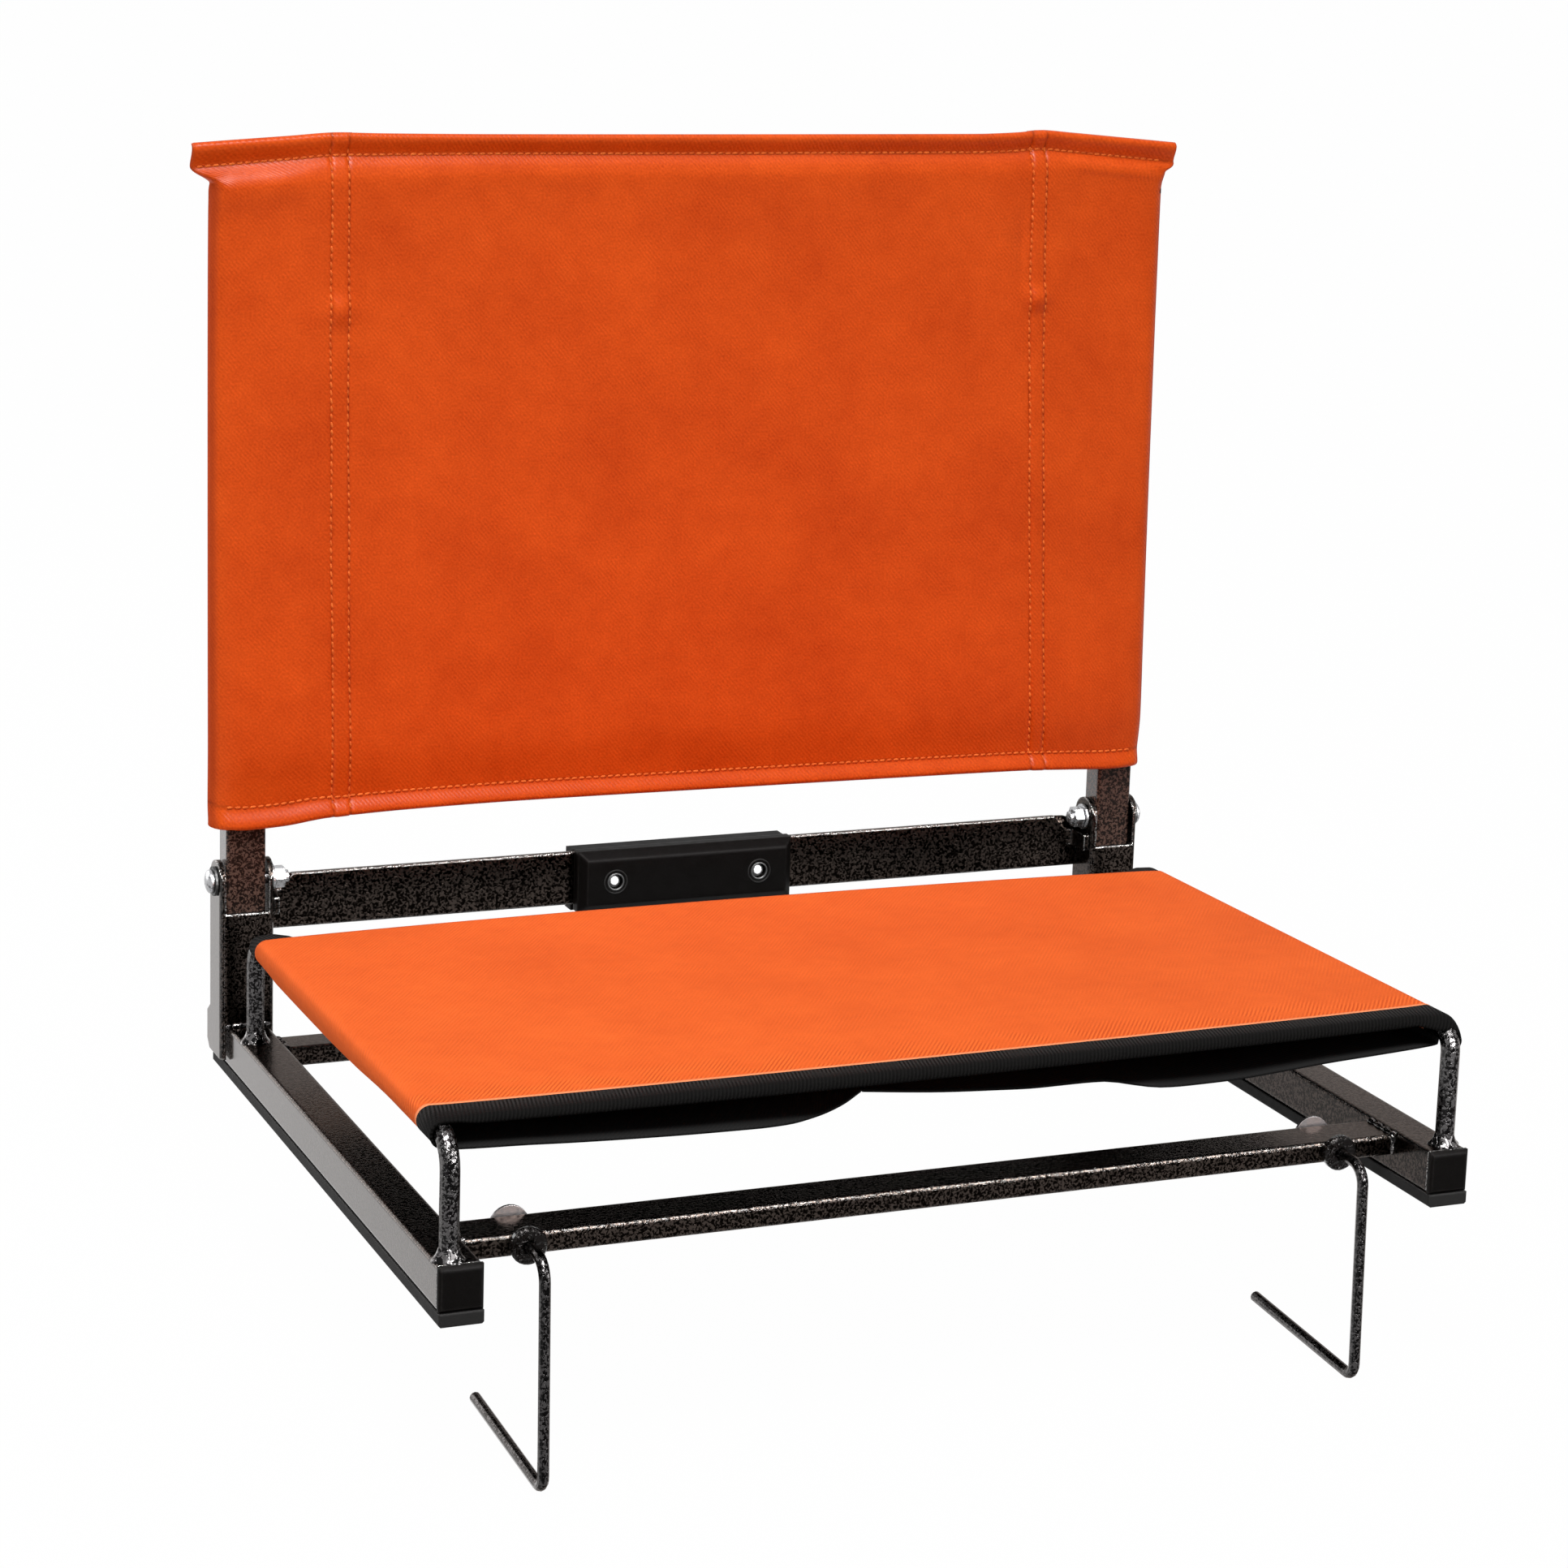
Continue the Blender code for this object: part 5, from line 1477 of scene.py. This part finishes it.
@dataclass
class BarDetails:
    """The rounded shoulders at the carry bar's ends and the rims round the grip's screws."""

    bar_front: float = 0.1683
    bar_depth: float = 0.0024
    grip_face: float = 0.1577
    screw_z: float = 0.07955
    screw_x: Span = (-0.04185, 0.03385)
    socket_radius: float = 0.0040
    socket_wire: float = 0.00045
    well_radius: float = 0.0058
    well_wire: float = 0.00040
    round_rim: int = 40
    round_wire: int = 10

    SHOULDER: Keys = (
        (0.2020, 0.0765), (0.2158, 0.0765), (0.2158, 0.0858), (0.2150, 0.0884), (0.2135, 0.0904),
        (0.2110, 0.0919), (0.2075, 0.0929), (0.2020, 0.0931),
    )

    def shoulder(self, name: str, side: float, material: Material) -> Piece:
        """Makes the flat shoulder that fills a corner of the carry bar.

        Args:
            name: Left or right.
            side: -1 for the left, 1 for the right.
            material: Its finish.

        Returns:
            The new piece.
        """
        outline = [(side * x, z) for x, z in self.SHOULDER]
        if side < 0:
            outline.reverse()
        count = len(outline)
        points = [(x, y, z) for y in (self.bar_front, self.bar_front + self.bar_depth) for x, z in outline]
        faces: Faces = [tuple(range(count)), tuple(range(2 * count - 1, count - 1, -1))]
        faces += [(a, a + count, (a + 1) % count + count, (a + 1) % count) for a in range(count)]
        return make_piece(f"{name}_bar_shoulder", points, faces, material)

    def rim(self, name: str, x: float, radius: float, wire: float, material: Material) -> Piece:
        """Makes a round rim on the grip's face, about a screw.

        Args:
            name: The rim's name.
            x: The screw's place across.
            radius: The rim's radius.
            wire: Half its thickness.
            material: Its finish.

        Returns:
            The new piece.
        """
        turns, wires = around(self.round_rim)[:, None], around(self.round_wire)[None, :]
        reach = radius + wire * np.cos(wires)
        across, up = x + reach * np.cos(turns), self.screw_z + reach * np.sin(turns)
        points = np.stack([across, np.broadcast_to(self.grip_face - wire * np.sin(wires), up.shape), up], -1)
        return make_piece(name, points, grid_faces(*up.shape, tube=True, ring=True), material)

    def build(self, finishes: Finishes) -> list[Piece]:
        """Makes the shoulders and the rims.

        Args:
            finishes: The seat's finishes.

        Returns:
            The new pieces.
        """
        tube, steel, rubber = (finishes[coat] for coat in (Coat.TUBE, Coat.DARK_STEEL, Coat.RUBBER))
        made: list[Piece] = []
        for (name, side), x in zip(SIDES, self.screw_x):
            made.append(self.shoulder(name, side, tube))
            made.append(self.rim(f"{name}_screw_rim", x, self.socket_radius, self.socket_wire, steel))
            made.append(self.rim(f"{name}_screw_well", x, self.well_radius, self.well_wire, rubber))
        for piece in made:
            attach(piece, "base")
        return made


# Rigid pieces and studio


@dataclass
class RigidPieces:
    """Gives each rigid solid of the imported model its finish."""

    nodes: Mapping[str, Piece]

    SHADED = ("right_side_rail", "right_hinge_bracket")
    COATS = {
        "runner": Coat.RUBBER,
        "front_end_cap": Coat.PLASTIC,
        "rear_end_cap": Coat.PLASTIC,
        "upright_plug": Coat.PLASTIC,
        "grip_front_half": Coat.PLASTIC,
        "grip_rear_half": Coat.PLASTIC,
        "hook_collar": Coat.COLLAR,
        "hook_retainer": Coat.DOME,
        "outer_washer": Coat.DARK_STEEL,
        "inner_washer": Coat.ZINC,
        "lock_nut": Coat.ZINC,
        "pivot_bolt": Coat.ZINC,
        "grip_screw": Coat.SCREW,
        "grip_nut": Coat.ZINC,
        "bench_hook": Coat.HOOK,
        "upright": Coat.UPRIGHT,
        "seat_rod": Coat.ROD,
    }

    def coat_of(self, name: str) -> Coat:
        """Finds the finish of a solid by its name."""
        plain = name.removeprefix("left_").removeprefix("right_")
        return Coat.SHADED_TUBE if name in self.SHADED else self.COATS.get(plain, Coat.TUBE)

    def build(self, finishes: Finishes) -> list[Piece]:
        """Dresses the solids that show.

        Args:
            finishes: The seat's finishes.

        Returns:
            The dressed solids.
        """
        dressed = [(name, node) for name, node in sorted(self.nodes.items()) if not node.hide_render]
        for name, node in dressed:
            for place in node.material_slots:
                place.material = finishes[self.coat_of(name)]
        return [node for _, node in dressed]


@dataclass(frozen=True)
class Lamp:
    """A soft square lamp."""

    name: str
    place: Point
    aim: Point
    size: float
    power: float
    glint_only: bool = False

    def build(self) -> Piece:
        """Hangs the lamp.

        Returns:
            The lamp.
        """
        data = bpy.data.lights.new(self.name, "AREA")
        data.shape, data.size, data.energy = "SQUARE", self.size, self.power
        made = bpy.data.objects.new(self.name, data)
        made.location = self.place
        made.rotation_euler = (Vector(self.aim) - Vector(self.place)).to_track_quat("-Z", "Y").to_euler()
        made.visible_diffuse = not self.glint_only
        bpy.context.scene.collection.objects.link(made)
        return made


@dataclass
class Studio:
    """A pale floor, soft light from above and the photograph's camera."""

    place: Point = (-0.684407, -1.571915, 0.586513)
    turn: Point = (1.360876, -0.030995, -0.391836)
    lens: float = 89.4785
    sensor: float = 36.0
    shift: Span = (0.0, -0.08)
    clip: Span = (0.05, 50.0)
    floor: float = -0.0816
    floor_reach: float = 14.0
    floor_grey: Colour = (0.62, 0.62, 0.62)
    floor_white: float = 0.988
    sky: float = 0.42
    key: Lamp = Lamp("key", (-0.55, -1.0, 2.35), (0.0, 0.0, 0.12), 1.3, 58.0)
    rim: Lamp = Lamp("rim", (-1.25, 1.55, 0.55), (-0.1, 0.0, 0.1), 1.4, 16.0)
    fold_glint: Lamp = Lamp("fold_glint", (-0.45, -1.0, 2.2), (0.0, 0.0, 0.3), 0.8, 170.0, True)
    edge_glint: Lamp = Lamp("edge_glint", (0.75, -1.85, 1.05), (0.0, 0.0, 0.05), 1.2, 190.0, True)

    def camera(self) -> None:
        """Sets the camera at the photograph's viewing angle."""
        data = bpy.data.cameras.new("camera")
        data.lens, data.sensor_width = self.lens, self.sensor
        data.shift_x, data.shift_y = self.shift
        data.clip_start, data.clip_end = self.clip
        made = bpy.data.objects.new("camera", data)
        made.location, made.rotation_euler = self.place, self.turn
        bpy.context.scene.collection.objects.link(made)
        bpy.context.scene.camera = made

    def seen(self, sheet: NodeSheet) -> Signal:
        """Gives 1 to what looks at the background directly, in a gloss or through glass.

        Args:
            sheet: The nodes to add to.

        Returns:
            1 or 0.
        """
        path = sheet.add("ShaderNodeLightPath", output="Is Camera Ray")
        rays = path.socket.node.outputs
        glossy, through = (Signal(sheet, rays[f"Is {kind} Ray"]) for kind in ("Glossy", "Transmission"))
        return sheet.combine("MAXIMUM", sheet.combine("MAXIMUM", path, glossy), through)

    def world(self) -> None:
        """Makes a sky that looks white and lights softly."""
        world = bpy.data.worlds.new("sky")
        bpy.context.scene.world = world
        sheet = NodeSheet(world)
        strength = self.sky + (1.0 - self.sky) * self.seen(sheet)
        shader = sheet.add("ShaderNodeBackground", inputs={"Color": WHITE, "Strength": strength})
        sheet.close("ShaderNodeOutputWorld", shader)

    def ground(self) -> None:
        """Makes the pale floor, which keeps a faint shadow."""
        material = bpy.data.materials.new("pale_floor")
        sheet = NodeSheet(material)
        matt = sheet.add("ShaderNodeBsdfDiffuse", inputs={"Color": self.floor_grey})
        white = sheet.add("ShaderNodeEmission", inputs={"Color": WHITE, "Strength": 1.0})
        share = self.seen(sheet) * self.floor_white
        shader = sheet.add("ShaderNodeMixShader", inputs={0: share, 1: matt, 2: white})
        sheet.close("ShaderNodeOutputMaterial", shader)
        far = self.floor_reach
        corners = [(x, y, self.floor) for x, y in ((-far, -far), (far, -far), (far, far), (-far, far))]
        make_piece("floor", corners, [(0, 1, 2, 3)], material)

    def build(self, coated: Sequence[Piece]) -> None:
        """Sets up the whole studio.

        Args:
            coated: The rigid pieces. All but the rails also glint from a low lamp in front.
        """
        bpy.context.scene.view_settings.view_transform = "Standard"
        self.camera()
        self.world()
        self.ground()
        for lamp in (self.key, self.rim, self.fold_glint):
            lamp.build()
        metal = bpy.data.collections.new("coated_metal")
        for piece in coated:
            if not piece.name.endswith("side_rail"):
                metal.objects.link(piece)
        self.edge_glint.build().light_linking.receiver_collection = metal


def main() -> None:
    """Builds and dresses the seat, piece by piece."""
    logging.basicConfig(level=logging.INFO, format="%(name)s: %(message)s")
    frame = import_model()
    finishes = {coat: coat.value.material() for coat in Coat}
    soft = BackCloth().build(finishes) + SeatCloth().build(finishes)
    rigid = WeldBeads().build(finishes) + BarDetails().build(finishes)
    rigid += RigidPieces(frame["nodes"]).build(finishes)
    for piece in soft + rigid:
        log.info("%s: %s", piece.name, piece.active_material.name)
    Studio().build(rigid)


if __name__ == "__main__":
    main()
